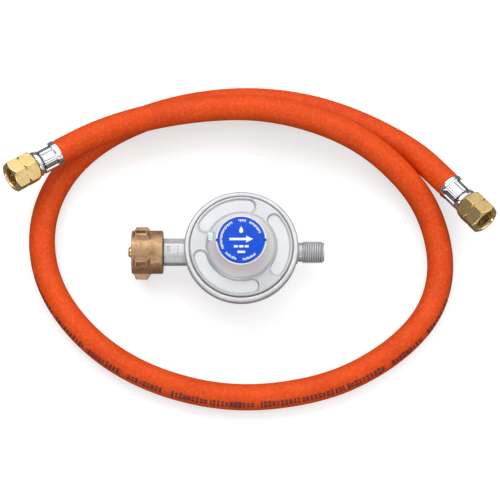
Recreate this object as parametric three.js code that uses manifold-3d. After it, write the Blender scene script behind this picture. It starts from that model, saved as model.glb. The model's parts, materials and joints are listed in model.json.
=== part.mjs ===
// A caravan gas kit: a low-pressure propane regulator with a winged bottle nut and a threaded
// outlet, and the orange rubber hose that goes with it, lying in one loop round the regulator
// with a left-hand union at each end. Millimetres, +Z up. The origin is the centre of the
// regulator's flat base, under the axis of its diaphragm. The bottle side is -X, the outlet is +X.

import * as THREE from 'three';
import { mergeVertices } from 'three/addons/utils/BufferGeometryUtils.js';
import Module from 'manifold-3d';

const wasm = await Module();
wasm.setup();

// ---------------------------------------------------------------- driving dimensions

const GAP = 0.3; // left between pieces that touch
const BROAD_SIDES = 48; // round a section of the largest pieces
const ROUND_SIDES = 32;
const SMALL_SIDES = 20;

const PORT_HEIGHT = 17.3; // inlet and outlet axis above the base
const BASE_RADIUS = 18;
const FLANGE_RADIUS = 33.5;
const FLANGE_BOTTOM = 24.9;
const FLANGE_TOP = 30.6;
const LIP_RADIUS = 30.5; // inner edge of the lip rolled over the cover
const SEAT_RADIUS = 32;
const SEAT_HEIGHT = 25.6; // where the diaphragm's bead is clamped
const CHAMBER_RADIUS = 27;
const CHAMBER_FLOOR = 4;

const STEM_FLATS = 15.2; // across the flats of the eight-sided inlet stem
const STEM_END = 45.6; // distances along the ports are counted from the diaphragm's axis
const GUIDE_BORE = 4.2;
const GUIDE_START = 10.6;
const NOZZLE_SEAT = 27;
const PASSAGE_BORE = 3.3;
const NIPPLE_BORE = 5.3;
const NIPPLE_SEAT = 38;
const GUIDE_HALF_WIDTH = 5.5;
const GUIDE_TOP = 22.4;

const OUTLET_SPIGOT_RADIUS = 4.9; // the part of the outlet fitting that is set in the casting's wall
const OUTLET_SPIGOT_START = 24.2;
const OUTLET_BOSS_RADIUS = 6.9;
const OUTLET_BOSS_END = 33.2;
const OUTLET_NECK_RADIUS = 5.6;
const OUTLET_THREAD_START = 37.4;
const OUTLET_END = 48.8;
const OUTLET_BORE = 3.9;
const QUARTER_GAS_MAJOR = 6.58; // G 1/4 left hand, radius
const QUARTER_GAS_MINOR = 5.72;
const QUARTER_GAS_PITCH = 1.337;

const BOTTLE_THREAD_MAJOR = 10.9; // W 21.8 x 1/14 left hand, radius
const BOTTLE_THREAD_MINOR = 10.1;
const BOTTLE_THREAD_PITCH = 1.814;
const BOTTLE_NUT_RADIUS = 12.8;
const BOTTLE_NUT_BACK = 46;
const BOTTLE_NUT_MOUTH = 64.4;
const BOTTLE_NUT_WALL = 3;
const WING_COUNT = 5;
const WING_RADIUS = 16.2;
const WING_FOOT = 12.4;
const WING_START = 52.8;
const WING_CROWN_START = 55.3;
const WING_CROWN_END = 62;
const WING_END = 63.6;
const FIRST_WING_ANGLE = 104; // degrees round the inlet from straight up

const LEVER_PIVOT_X = -14.5;
const LEVER_PIVOT_HEIGHT = 11;
const LEVER_PIN_RADIUS = 0.9;
const LEVER_SLOT_HALF_WIDTH = 1.9;

const DOME_FOOT_RADIUS = 19.6;
const LABEL_SEAT_RADIUS = 14;
const LABEL_SEAT_HEIGHT = 44.3;
const ADJUSTER_BORE = 7.3;
const ADJUSTER_BOTTOM = 38.2;
const POCKET_FLOOR = 30.6;
const POCKET_INNER_RADIUS = 21.4;
const POCKET_OUTER_RADIUS = 28.4;
const POCKET_ARCS = [[80, 149], [-33, 39], [195, 285]]; // degrees from the outlet, anticlockwise
const VENT_CENTRE = [-17.6, 4.6];

const HOSE_RADIUS = 7.7;
const HOSE_BORE_RADIUS = 4;
const HOSE_SIDES = 12;
const HOSE_BORE_SIDES = 8;
const HOSE_STEPS = 60;
const CRIMPED_HOSE_RADIUS = 6.25; // inside the ferrules
const FERRULE_LENGTH = 12; // distances along a fitting are counted from the ferrule's rim
const COLLAR_RADIUS = 7.7;
const COLLAR_START = FERRULE_LENGTH + 0.4;
const COLLAR_END = COLLAR_START + 3.7;
const UNION_NUT_START = COLLAR_END + 0.4;
const UNION_NUT_END = UNION_NUT_START + 16.1;
const UNION_NUT_FLATS = 17;
const UNION_NUT_WALL = 3.1;
const LEFT_NUT_ROLL = -9; // degrees that each hexagon is turned from corner up
const RIGHT_NUT_ROLL = 6;

// The hose's centre line, from its left end, over the other strand, round the loop clockwise as
// seen from above, under itself, and behind the first strand to its right end.
const HOSE_ROUTE = [
  [-108.6, 57, 30.1], [-103, 60.8, 28.3], [-87.5, 70, 24.6], [-65, 78.5, 23.8], [-41.5, 84, 23.8],
  [-18, 87, 23.7], [6, 87.5, 23.5], [29.5, 84, 23.2], [52, 77, 22.4],
  [73, 66.5, 20.5], [91.5, 52, 16.9], [106.5, 34.5, 12], [115.5, 13, 8.6],
  [117.5, -10, 7.9], [111, -32.5, 7.9], [96, -51.5, 7.9], [76.5, -66, 7.9],
  [54.5, -76.5, 7.9], [31, -82.5, 7.9], [7, -85, 7.9], [-17, -83.5, 7.9],
  [-40.5, -78, 7.9], [-62.5, -69, 7.9], [-82.5, -56, 7.9], [-99.5, -39, 7.9],
  [-112, -19, 7.9], [-118, 3.5, 7.9], [-116.5, 27, 7.9], [-107, 49, 7.9],
  [-91, 67, 7.9], [-71, 80, 7.9], [-49, 89, 7.9], [-26, 94.5, 7.9],
  [-2, 97, 7.9], [22, 96, 7.9], [45.5, 91.5, 7.9], [68, 83.5, 8],
  [89, 72.5, 9.3], [108, 58, 12.9], [118.9, 45.5, 17.5], [123.2, 40.3, 19.5],
].map(([x, y, z]) => new THREE.Vector3(x, y, z));

// ---------------------------------------------------------------- shapes

// A solid of revolution about +Z, from [radius, height] pairs in order round the section.
function revolve(profile, sides = ROUND_SIDES) {
  const points = profile.map(([radius, height]) => new THREE.Vector2(radius, height));
  const startsAndEndsOnAxis = profile[0][0] === 0 && profile.at(-1)[0] === 0;
  if (!startsAndEndsOnAxis) {
    points.push(points[0].clone());
  }
  return new THREE.LatheGeometry(points, sides).rotateX(Math.PI / 2);
}

function rod(radius, bottom, top, sides = SMALL_SIDES) {
  return revolve([[0, bottom], [radius, bottom], [radius, top], [0, top]], sides);
}

function tube(inner, outer, bottom, top, sides = SMALL_SIDES) {
  return revolve([[inner, bottom], [outer, bottom], [outer, top], [inner, top]], sides);
}

// A box from its lowest to its highest corner.
function block(low, high) {
  const size = high.map((value, i) => value - low[i]);
  const middle = high.map((value, i) => (value + low[i]) / 2);
  return new THREE.BoxGeometry(...size).translate(...middle);
}

function polygonPrism(acrossFlats, sides, bottom, top) {
  const cornerRadius = acrossFlats / 2 / Math.cos(Math.PI / sides);
  return rod(cornerRadius, bottom, top, sides);
}

// Alternating roots and crests, as [radius, height] pairs, for a thread drawn as plain rings.
function threadRings(rootRadius, crestRadius, pitch, start, end) {
  const rings = [];
  const turns = Math.floor((end - start) / pitch);
  for (let turn = 0; turn < turns; turn += 1) {
    const height = start + turn * pitch;
    rings.push([rootRadius, height], [crestRadius, height + pitch / 2]);
  }
  rings.push([rootRadius, start + turns * pitch]);
  return rings;
}

// ---------------------------------------------------------------- joining and cutting

function signedVolume(positions, index) {
  const a = new THREE.Vector3();
  const b = new THREE.Vector3();
  const c = new THREE.Vector3();
  let volume = 0;
  for (let i = 0; i < index.length; i += 3) {
    a.fromArray(positions, index[i] * 3);
    b.fromArray(positions, index[i + 1] * 3);
    c.fromArray(positions, index[i + 2] * 3);
    volume += a.dot(b.cross(c)) / 6;
  }
  return volume;
}

// A manifold solid from a closed geometry, with its faces turned outwards.
function solid(geometry) {
  const bare = geometry.clone();
  bare.deleteAttribute('normal');
  bare.deleteAttribute('uv');
  const merged = mergeVertices(bare);
  const vertProperties = Float32Array.from(merged.attributes.position.array);
  const kept = [];
  for (let i = 0; i < merged.index.count; i += 3) {
    const corners = [0, 1, 2].map((k) => merged.index.getX(i + k));
    if (new Set(corners).size === 3) {
      kept.push(corners);
    }
  }
  const insideOut = signedVolume(vertProperties, kept.flat()) < 0;
  const triVerts = Uint32Array.from(kept.flatMap(([a, b, c]) => (insideOut ? [a, c, b] : [a, b, c])));
  return new wasm.Manifold(new wasm.Mesh({ numProp: 3, vertProperties, triVerts }));
}

function geometryOf(manifold) {
  const mesh = manifold.getMesh();
  const geometry = new THREE.BufferGeometry();
  geometry.setAttribute('position', new THREE.BufferAttribute(mesh.vertProperties, 3));
  geometry.setIndex(new THREE.BufferAttribute(mesh.triVerts, 1));
  return geometry;
}

function combine({ join, cut = [] }) {
  const whole = join.map(solid).reduce((all, piece) => all.add(piece));
  return geometryOf(cut.map(solid).reduce((all, piece) => all.subtract(piece), whole));
}

function common(first, second) {
  return geometryOf(solid(first).intersect(solid(second)));
}

// ---------------------------------------------------------------- nodes and their looks

const LOOKS = {
  castZinc: { color: 0xc9cccf, roughness: 0.38, metalness: 0.75 },
  winterBrass: { color: 0xa9824f, roughness: 0.42, metalness: 0.85 },
  brightBrass: { color: 0xd0a94e, roughness: 0.25, metalness: 0.95 },
  chrome: { color: 0xd8dadd, roughness: 0.12, metalness: 1 },
  steel: { color: 0x9a9da1, roughness: 0.35, metalness: 0.9 },
  orangeRubber: { color: 0xe2501f, roughness: 0.62, metalness: 0 },
  blackRubber: { color: 0x1b1b1d, roughness: 0.8, metalness: 0 },
  blueLabel: { color: 0x0a3fd6, roughness: 0.4, metalness: 0 },
  paleVent: { color: 0xc9d8cc, roughness: 0.5, metalness: 0 },
  whitePlastic: { color: 0xd9dad6, roughness: 0.5, metalness: 0 },
};

function add(parent, name, geometry, look) {
  const mesh = new THREE.Mesh(geometryOf(solid(geometry)), new THREE.MeshStandardMaterial(LOOKS[look]));
  mesh.name = name;
  parent.add(mesh);
  return mesh;
}

// ---------------------------------------------------------------- regulator casting

// Turns a shape built along +Z so that it points along the inlet (-X), on the port axis.
function alongInlet(geometry) {
  return geometry.rotateY(-Math.PI / 2).translate(0, 0, PORT_HEIGHT);
}

function alongOutlet(geometry) {
  return geometry.rotateY(Math.PI / 2).translate(0, 0, PORT_HEIGHT);
}

const BOWL_WALL = [
  [BASE_RADIUS, 0], [19.2, 1], [20.5, 6], [25.5, 14.5], [28.8, 20.5], [29.6, 24.3],
  [33, FLANGE_BOTTOM], [FLANGE_RADIUS, 25.6],
];

function regulatorBody() {
  const bowl = revolve([
    [0, 0], ...BOWL_WALL, [FLANGE_RADIUS, 29.4], [32.9, 30.3], [31.2, FLANGE_TOP],
    [LIP_RADIUS, FLANGE_TOP - 0.3], [LIP_RADIUS, 29], [SEAT_RADIUS, 29], [SEAT_RADIUS, SEAT_HEIGHT],
    [CHAMBER_RADIUS, SEAT_HEIGHT], [26.5, 20.5], [23, 13.5], [17, 5], [15.5, CHAMBER_FLOOR],
    [0, CHAMBER_FLOOR],
  ], BROAD_SIDES);
  const stem = alongInlet(polygonPrism(STEM_FLATS, 8, 23, STEM_END).rotateZ(Math.PI / 8));
  const guide = alongInlet(rod(7.6, GUIDE_START, 30));
  const pedestal = block(
    [-18.5, -GUIDE_HALF_WIDTH, CHAMBER_FLOOR - 1],
    [-GUIDE_START, GUIDE_HALF_WIDTH, PORT_HEIGHT],
  );
  const leverSlot = block(
    [-19, -LEVER_SLOT_HALF_WIDTH, 8.2],
    [-GUIDE_START + 1, LEVER_SLOT_HALF_WIDTH, PORT_HEIGHT],
  );
  const pinHole = rod(LEVER_PIN_RADIUS + GAP, -8, 8)
    .rotateX(Math.PI / 2)
    .translate(LEVER_PIVOT_X, 0, LEVER_PIVOT_HEIGHT);
  return combine({
    join: [bowl, stem, guide, pedestal],
    cut: [
      rod(26.4, GUIDE_TOP, SEAT_HEIGHT + 1),
      alongInlet(rod(GUIDE_BORE, GUIDE_START - 1, NOZZLE_SEAT)),
      alongInlet(rod(PASSAGE_BORE, GUIDE_START, STEM_END + 1)),
      alongInlet(rod(NIPPLE_BORE, NIPPLE_SEAT, STEM_END + 1)),
      alongOutlet(rod(OUTLET_SPIGOT_RADIUS + GAP, 18, OUTLET_BOSS_END)),
      leverSlot,
      pinHole,
    ],
  });
}

// The outlet's boss is cut to follow the bowl, with the usual gap, and its spigot goes through the wall.
function outletFitting() {
  const threadEnd = OUTLET_THREAD_START + 8 * QUARTER_GAS_PITCH;
  const stub = alongOutlet(revolve([
    [OUTLET_BORE, OUTLET_SPIGOT_START], [OUTLET_SPIGOT_RADIUS, OUTLET_SPIGOT_START],
    [OUTLET_SPIGOT_RADIUS, OUTLET_BOSS_END], [OUTLET_NECK_RADIUS, OUTLET_BOSS_END + 0.6],
    ...threadRings(
      QUARTER_GAS_MINOR, QUARTER_GAS_MAJOR, QUARTER_GAS_PITCH, OUTLET_THREAD_START, threadEnd + 0.01,
    ),
    [5.5, OUTLET_END], [OUTLET_BORE, OUTLET_END],
  ], SMALL_SIDES));
  const boss = alongOutlet(tube(
    OUTLET_SPIGOT_RADIUS - 0.4, OUTLET_BOSS_RADIUS, OUTLET_SPIGOT_START + 1, OUTLET_BOSS_END,
  ));
  const bowlWithGap = revolve([
    [0, -GAP], ...BOWL_WALL.map(([radius, height]) => [radius + GAP, height - GAP]),
    [FLANGE_RADIUS + GAP, FLANGE_TOP], [0, FLANGE_TOP],
  ], BROAD_SIDES);
  const fittedBoss = combine({ join: [boss], cut: [bowlWithGap] });
  return combine({ join: [stub, fittedBoss] });
}

// ---------------------------------------------------------------- cover and what it holds

// A band along a circle's arc, with round ends, extruded upwards.
function kidneyPocket([startDegrees, endDegrees]) {
  const start = THREE.MathUtils.degToRad(startDegrees);
  const end = THREE.MathUtils.degToRad(endDegrees);
  const middleRadius = (POCKET_INNER_RADIUS + POCKET_OUTER_RADIUS) / 2;
  const endRadius = (POCKET_OUTER_RADIUS - POCKET_INNER_RADIUS) / 2;
  const outline = new THREE.Shape();
  outline.absarc(0, 0, POCKET_OUTER_RADIUS, start, end, false);
  outline.absarc(
    middleRadius * Math.cos(end), middleRadius * Math.sin(end), endRadius, end, end + Math.PI, false,
  );
  outline.absarc(0, 0, POCKET_INNER_RADIUS, end, start, true);
  outline.absarc(
    middleRadius * Math.cos(start), middleRadius * Math.sin(start), endRadius,
    start + Math.PI, start + 2 * Math.PI, false,
  );
  const height = 4;
  return new THREE.ExtrudeGeometry(outline, { depth: height, bevelEnabled: false, curveSegments: 6 })
    .translate(0, 0, POCKET_FLOOR);
}

function coverBonnet() {
  const shell = revolve([
    [CHAMBER_RADIUS + 0.3, 27.4], [31.6, 27.4], [31.6, 28.7], [30.1, 28.7], [30, 30.8], [29.2, 31.6],
    [20.6, 32], [DOME_FOOT_RADIUS, 32.6], [15, 43.4], [14.9, 44.4], [14.6, 44.8],
    [LABEL_SEAT_RADIUS, 44.8], [LABEL_SEAT_RADIUS, LABEL_SEAT_HEIGHT],
    [ADJUSTER_BORE, LABEL_SEAT_HEIGHT], [ADJUSTER_BORE, ADJUSTER_BOTTOM - 0.7],
    [9.6, ADJUSTER_BOTTOM - 0.7], [9.6, 41.6], [12.4, 41.6], [17.4, 30.8], [26.8, 29.4],
  ], BROAD_SIDES);
  const [ventX, ventY] = VENT_CENTRE;
  const ventHole = block([ventX - 1.9, ventY - 2.6, 29], [ventX + 1.9, ventY + 2.6, 45]);
  return combine({ join: [shell], cut: [...POCKET_ARCS.map(kidneyPocket), ventHole] });
}

function ventInsert() {
  const [ventX, ventY] = VENT_CENTRE;
  return block([ventX - 1.6, ventY - 2.3, 31.4], [ventX + 1.6, ventY + 2.3, 36]);
}

function labelCap() {
  const bottom = LABEL_SEAT_HEIGHT + GAP;
  const top = bottom + 0.9;
  const disc = rod(LABEL_SEAT_RADIUS - GAP, bottom, top, ROUND_SIDES);
  const tabs = block([-14.7, -0.8, top - 0.4], [14.7, 0.8, top]);
  return combine({ join: [disc, tabs] });
}

function adjustingScrew() {
  const top = 43.9;
  const screw = rod(ADJUSTER_BORE - 0.4, ADJUSTER_BOTTOM, top);
  const keySocket = polygonPrism(6, 6, top - 3, top + 1);
  return combine({ join: [screw], cut: [keySocket] });
}

function diaphragmSheet() {
  return revolve([
    [3.8, 24.1], [17.5, 24.1], [19.4, 25.3], [22, 26.5], [24.6, 25.9], [26.4, 25.9], [31.4, 25.9],
    [31.4, 27.1], [25, 27.1], [22, 27.7], [18.8, 26.5], [17.2, 25.1], [3.8, 25.1],
  ], SMALL_SIDES);
}

function diaphragmPlate() {
  return revolve([
    [3.8, 25.4], [16.5, 25.4], [16.5, 27.4], [15.5, 27.4], [15.5, 26.4], [3.8, 26.4],
  ], SMALL_SIDES);
}

// The riveted stem: its foot has a slot that the lever's tip lies in.
function diaphragmStem() {
  const stem = revolve([
    [0, 8.4], [3.4, 8.4], [3.4, 22.6], [9.5, 22.6], [9.5, 23.8], [3.4, 23.8], [3.4, 26.7],
    [4.3, 26.7], [4.3, 27.9], [0, 27.9],
  ], SMALL_SIDES);
  const slot = block(
    [-5, -LEVER_SLOT_HALF_WIDTH, LEVER_PIVOT_HEIGHT - 1.9],
    [5, LEVER_SLOT_HALF_WIDTH, LEVER_PIVOT_HEIGHT + 1.9],
  );
  return combine({ join: [stem], cut: [slot] });
}

class Helix extends THREE.Curve {
  constructor(radius, bottom, top, turns) {
    super();
    Object.assign(this, { radius, bottom, top, turns });
  }

  getPoint(t, target = new THREE.Vector3()) {
    const angle = 2 * Math.PI * this.turns * t;
    const height = this.bottom + (this.top - this.bottom) * t;
    return target.set(this.radius * Math.cos(angle), this.radius * Math.sin(angle), height);
  }
}

function circleOutline(radius, sides) {
  return new THREE.Shape(new THREE.EllipseCurve(0, 0, radius, radius, 0, 2 * Math.PI).getPoints(sides));
}

function mainSpring() {
  const wireRadius = 0.8;
  const turns = 5;
  const bottom = 26.7 + wireRadius;
  const top = ADJUSTER_BOTTOM - GAP - wireRadius;
  const path = new Helix(5.9, bottom, top, turns);
  return new THREE.ExtrudeGeometry(circleOutline(wireRadius, 6), {
    steps: 12 * turns, bevelEnabled: false, extrudePath: path,
  });
}

// ---------------------------------------------------------------- valve

// The bell crank: a long arm under the diaphragm's stem and a short arm up into the slider.
function valveLever() {
  const thickness = 3;
  const armHalf = 0.7;
  const upright = (geometry) => geometry.rotateX(Math.PI / 2);
  const disc = (radius, x, z) => upright(rod(radius, -thickness / 2, thickness / 2)).translate(x, 0, z);
  const tipHeight = PORT_HEIGHT - LEVER_PIVOT_HEIGHT;
  return combine({
    join: [
      disc(1.9, 0, 0),
      disc(1.3, -LEVER_PIVOT_X, 0),
      disc(1.3, 0, tipHeight),
      block([0, -thickness / 2, -armHalf], [-LEVER_PIVOT_X, thickness / 2, armHalf]),
      block([-armHalf, -thickness / 2, 0], [armHalf, thickness / 2, tipHeight]),
    ],
    cut: [upright(rod(LEVER_PIN_RADIUS + 0.35, -thickness, thickness))],
  });
}

function leverPin() {
  return rod(LEVER_PIN_RADIUS, -5.3, 5.3).rotateX(Math.PI / 2);
}

function valveSlider() {
  const slider = alongInlet(revolve([
    [0, 11.6], [3.9, 11.6], [3.9, 19.9], [3.1, 19.9], [3.1, 18.7], [0, 18.7],
  ]));
  const slotHalf = 1.7;
  const armSlot = block(
    [LEVER_PIVOT_X - slotHalf, -2.3, PORT_HEIGHT - 6],
    [LEVER_PIVOT_X + slotHalf, 2.3, PORT_HEIGHT + 1.8],
  );
  return combine({ join: [slider], cut: [armSlot] });
}

function inletNozzle() {
  return revolve([
    [1.1, 21.6], [1.8, 21.6], [2.4, 22.6], [3.9, 22.6], [3.9, 26.7], [1.1, 26.7],
  ], SMALL_SIDES);
}

function inletFilter() {
  return revolve([[0, 27.6], [2.9, 27.6], [2.9, 37], [2.2, 37], [2.2, 28.4], [0, 28.4]], SMALL_SIDES);
}

// ---------------------------------------------------------------- bottle connection

function inletNipple() {
  return revolve([
    [1.8, 38.4], [5, 38.4], [5, STEM_END + GAP], [6, STEM_END + GAP], [6, 49.3], [9.4, 49.3],
    [9.4, 52.4], [3.1, 52.4], [3.1, 65.4], [2.5, 66.4], [1.8, 66.4],
  ], SMALL_SIDES);
}

function inletNutWing(index) {
  const foot = 2.8; // half widths
  const crown = 1.9;
  const inside = 11.4;
  const section = new THREE.Shape([
    new THREE.Vector2(inside, -foot), new THREE.Vector2(WING_FOOT, -foot),
    new THREE.Vector2(WING_RADIUS, -crown), new THREE.Vector2(WING_RADIUS, crown),
    new THREE.Vector2(WING_FOOT, foot), new THREE.Vector2(inside, foot),
  ]);
  const side = new THREE.Shape([
    new THREE.Vector2(inside, -WING_START), new THREE.Vector2(WING_FOOT, -WING_START),
    new THREE.Vector2(WING_RADIUS, -WING_CROWN_START), new THREE.Vector2(WING_RADIUS, -WING_CROWN_END),
    new THREE.Vector2(WING_FOOT, -WING_END), new THREE.Vector2(inside, -WING_END),
  ]);
  const acrossDepth = 2 * foot + 2;
  const lengthwise = new THREE.ExtrudeGeometry(section, { depth: WING_END - WING_START + 2, bevelEnabled: false })
    .translate(0, 0, WING_START - 1);
  const crosswise = new THREE.ExtrudeGeometry(side, { depth: acrossDepth, bevelEnabled: false })
    .translate(0, 0, -acrossDepth / 2)
    .rotateX(-Math.PI / 2);
  const angle = FIRST_WING_ANGLE + (360 / WING_COUNT) * index;
  return common(lengthwise, crosswise).rotateZ(THREE.MathUtils.degToRad(angle));
}

function inletUnionNut() {
  const cavityStart = BOTTLE_NUT_BACK + BOTTLE_NUT_WALL;
  const threadStart = cavityStart + 3;
  const barrel = revolve([
    [6.3, BOTTLE_NUT_BACK], [11.6, BOTTLE_NUT_BACK], [BOTTLE_NUT_RADIUS, BOTTLE_NUT_BACK + 1.2],
    [BOTTLE_NUT_RADIUS, BOTTLE_NUT_MOUTH - 0.4], [12.4, BOTTLE_NUT_MOUTH], [11.2, BOTTLE_NUT_MOUTH],
    ...threadRings(
      BOTTLE_THREAD_MAJOR, BOTTLE_THREAD_MINOR, BOTTLE_THREAD_PITCH, threadStart, BOTTLE_NUT_MOUTH - 0.6,
    ).reverse(),
    [BOTTLE_THREAD_MAJOR, cavityStart], [6.3, cavityStart],
  ]);
  const wings = Array.from({ length: WING_COUNT }, (_, index) => inletNutWing(index));
  return combine({ join: [barrel, ...wings] });
}

// ---------------------------------------------------------------- hose and its unions

// A group whose +Z points out of the hose's end and whose +Y points upwards, then turned by roll
// degrees about +Z. Its origin is at the ferrule's rim.
function fittingFrame(end, inner, roll) {
  const outward = end.clone().sub(inner).normalize();
  const sideways = new THREE.Vector3(0, 0, 1).cross(outward).normalize();
  const upwards = outward.clone().cross(sideways);
  const group = new THREE.Group();
  group.position.copy(end).addScaledVector(outward, GAP);
  group.quaternion.setFromRotationMatrix(new THREE.Matrix4().makeBasis(sideways, upwards, outward));
  group.rotateZ(THREE.MathUtils.degToRad(roll));
  group.updateMatrix();
  return group;
}

function hose(frames) {
  const route = new THREE.CatmullRomCurve3(HOSE_ROUTE);
  const section = circleOutline(HOSE_RADIUS, HOSE_SIDES);
  section.holes.push(circleOutline(HOSE_BORE_RADIUS, HOSE_BORE_SIDES));
  const length = new THREE.ExtrudeGeometry(section, {
    steps: HOSE_STEPS, bevelEnabled: false, extrudePath: route,
  });
  const crimpedEnds = frames.map((frame) => (
    tube(HOSE_BORE_RADIUS + 0.05, CRIMPED_HOSE_RADIUS, -2, FERRULE_LENGTH - 1.6).applyMatrix4(frame.matrix)
  ));
  return combine({ join: [length, ...crimpedEnds] });
}

function ferrule() {
  return revolve([
    [7.4, 0], [8.05, 0.3], [8.05, 2.4], [7.3, 3.8], [7.2, FERRULE_LENGTH - 1.2], [6.4, FERRULE_LENGTH],
    [4, FERRULE_LENGTH], [4, FERRULE_LENGTH - 0.8], [6.6, FERRULE_LENGTH - 1.2], [6.6, 3.9], [7.4, 2.6],
  ], SMALL_SIDES);
}

function hoseTail() {
  const headStart = UNION_NUT_START + UNION_NUT_WALL + GAP;
  const edge = 0.7;
  return revolve([
    [2.4, -3], [3.5, -3], [3.5, COLLAR_START], [COLLAR_RADIUS - edge, COLLAR_START],
    [COLLAR_RADIUS, COLLAR_START + edge], [COLLAR_RADIUS, COLLAR_END - edge],
    [COLLAR_RADIUS - edge, COLLAR_END], [4.4, COLLAR_END], [4.4, headStart], [5.4, headStart],
    [5.4, headStart + 2.2], [3.4, headStart + 4.2], [2.4, headStart + 4.2],
  ], SMALL_SIDES);
}

function unionNut() {
  const cavityStart = UNION_NUT_START + UNION_NUT_WALL;
  const hexagon = polygonPrism(UNION_NUT_FLATS, 6, UNION_NUT_START, UNION_NUT_END);
  const turnedOutline = revolve([
    [0, UNION_NUT_START], [8, UNION_NUT_START], [9.9, UNION_NUT_START + 2],
    [9.9, UNION_NUT_END - 1], [8.3, UNION_NUT_END], [0, UNION_NUT_END],
  ], SMALL_SIDES);
  const threadStart = cavityStart + 3;
  const socket = revolve([
    [0, UNION_NUT_START - 1], [4.75, UNION_NUT_START - 1], [4.75, cavityStart],
    [QUARTER_GAS_MAJOR, cavityStart],
    ...threadRings(
      QUARTER_GAS_MAJOR, QUARTER_GAS_MINOR + 0.08, QUARTER_GAS_PITCH, threadStart, UNION_NUT_END - 0.6,
    ),
    [QUARTER_GAS_MAJOR + 0.4, UNION_NUT_END + 1], [0, UNION_NUT_END + 1],
  ], SMALL_SIDES);
  return combine({ join: [common(hexagon, turnedOutline)], cut: [socket] });
}

// ---------------------------------------------------------------- assembly

const kit = new THREE.Group();

const regulator = new THREE.Group();
kit.add(regulator);
add(regulator, 'regulator_body', regulatorBody(), 'castZinc');
add(regulator, 'outlet_fitting', outletFitting(), 'castZinc');
add(regulator, 'bonnet_cover', coverBonnet(), 'castZinc');
add(regulator, 'vent_insert', ventInsert(), 'paleVent');
add(regulator, 'label_cap', labelCap(), 'blueLabel');
add(regulator, 'adjusting_screw', adjustingScrew(), 'whitePlastic');
add(regulator, 'main_spring', mainSpring(), 'steel');
add(regulator, 'diaphragm', diaphragmSheet(), 'blackRubber');
add(regulator, 'diaphragm_plate', diaphragmPlate(), 'steel');
add(regulator, 'diaphragm_stem', diaphragmStem(), 'brightBrass');
add(regulator, 'valve_slider', valveSlider(), 'brightBrass');
for (const [name, geometry, look] of [
  ['valve_lever', valveLever(), 'steel'],
  ['lever_pin', leverPin(), 'steel'],
]) {
  add(regulator, name, geometry, look).position.set(LEVER_PIVOT_X, 0, LEVER_PIVOT_HEIGHT);
}

// The inlet's own pieces are built outwards along +Z and turned to point along -X.
const inlet = new THREE.Group();
inlet.position.set(0, 0, PORT_HEIGHT);
inlet.rotation.y = -Math.PI / 2;
regulator.add(inlet);
add(inlet, 'valve_pad', rod(2.8, 19, 20.1), 'blackRubber');
add(inlet, 'inlet_nozzle', inletNozzle(), 'brightBrass');
add(inlet, 'inlet_filter', inletFilter(), 'steel');
add(inlet, 'inlet_nipple', inletNipple(), 'brightBrass');
add(inlet, 'inlet_seal', tube(3.4, 7.5, 52.7, 54.9), 'blackRubber');
add(inlet, 'inlet_union_nut', inletUnionNut(), 'winterBrass');

const leftEnd = fittingFrame(HOSE_ROUTE[0], HOSE_ROUTE[1], LEFT_NUT_ROLL);
const rightEnd = fittingFrame(HOSE_ROUTE.at(-1), HOSE_ROUTE.at(-2), RIGHT_NUT_ROLL);
add(kit, 'hose', hose([leftEnd, rightEnd]), 'orangeRubber');
for (const [side, frame] of [['left', leftEnd], ['right', rightEnd]]) {
  add(frame, `${side}_ferrule`, ferrule(), 'chrome');
  add(frame, `${side}_hose_tail`, hoseTail(), 'chrome');
  add(frame, `${side}_union_nut`, unionNut(), 'brightBrass');
  kit.add(frame);
}

export default kit;
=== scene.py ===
"""The looks of a caravan gas kit: a propane regulator and the orange hose that goes with it, built
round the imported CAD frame. Each piece's shape is worked out in millimetres, in a frame of its own
whose +Z is the piece's axis, and then placed in metres where the CAD says."""

import json
import math
from functools import reduce

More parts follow.
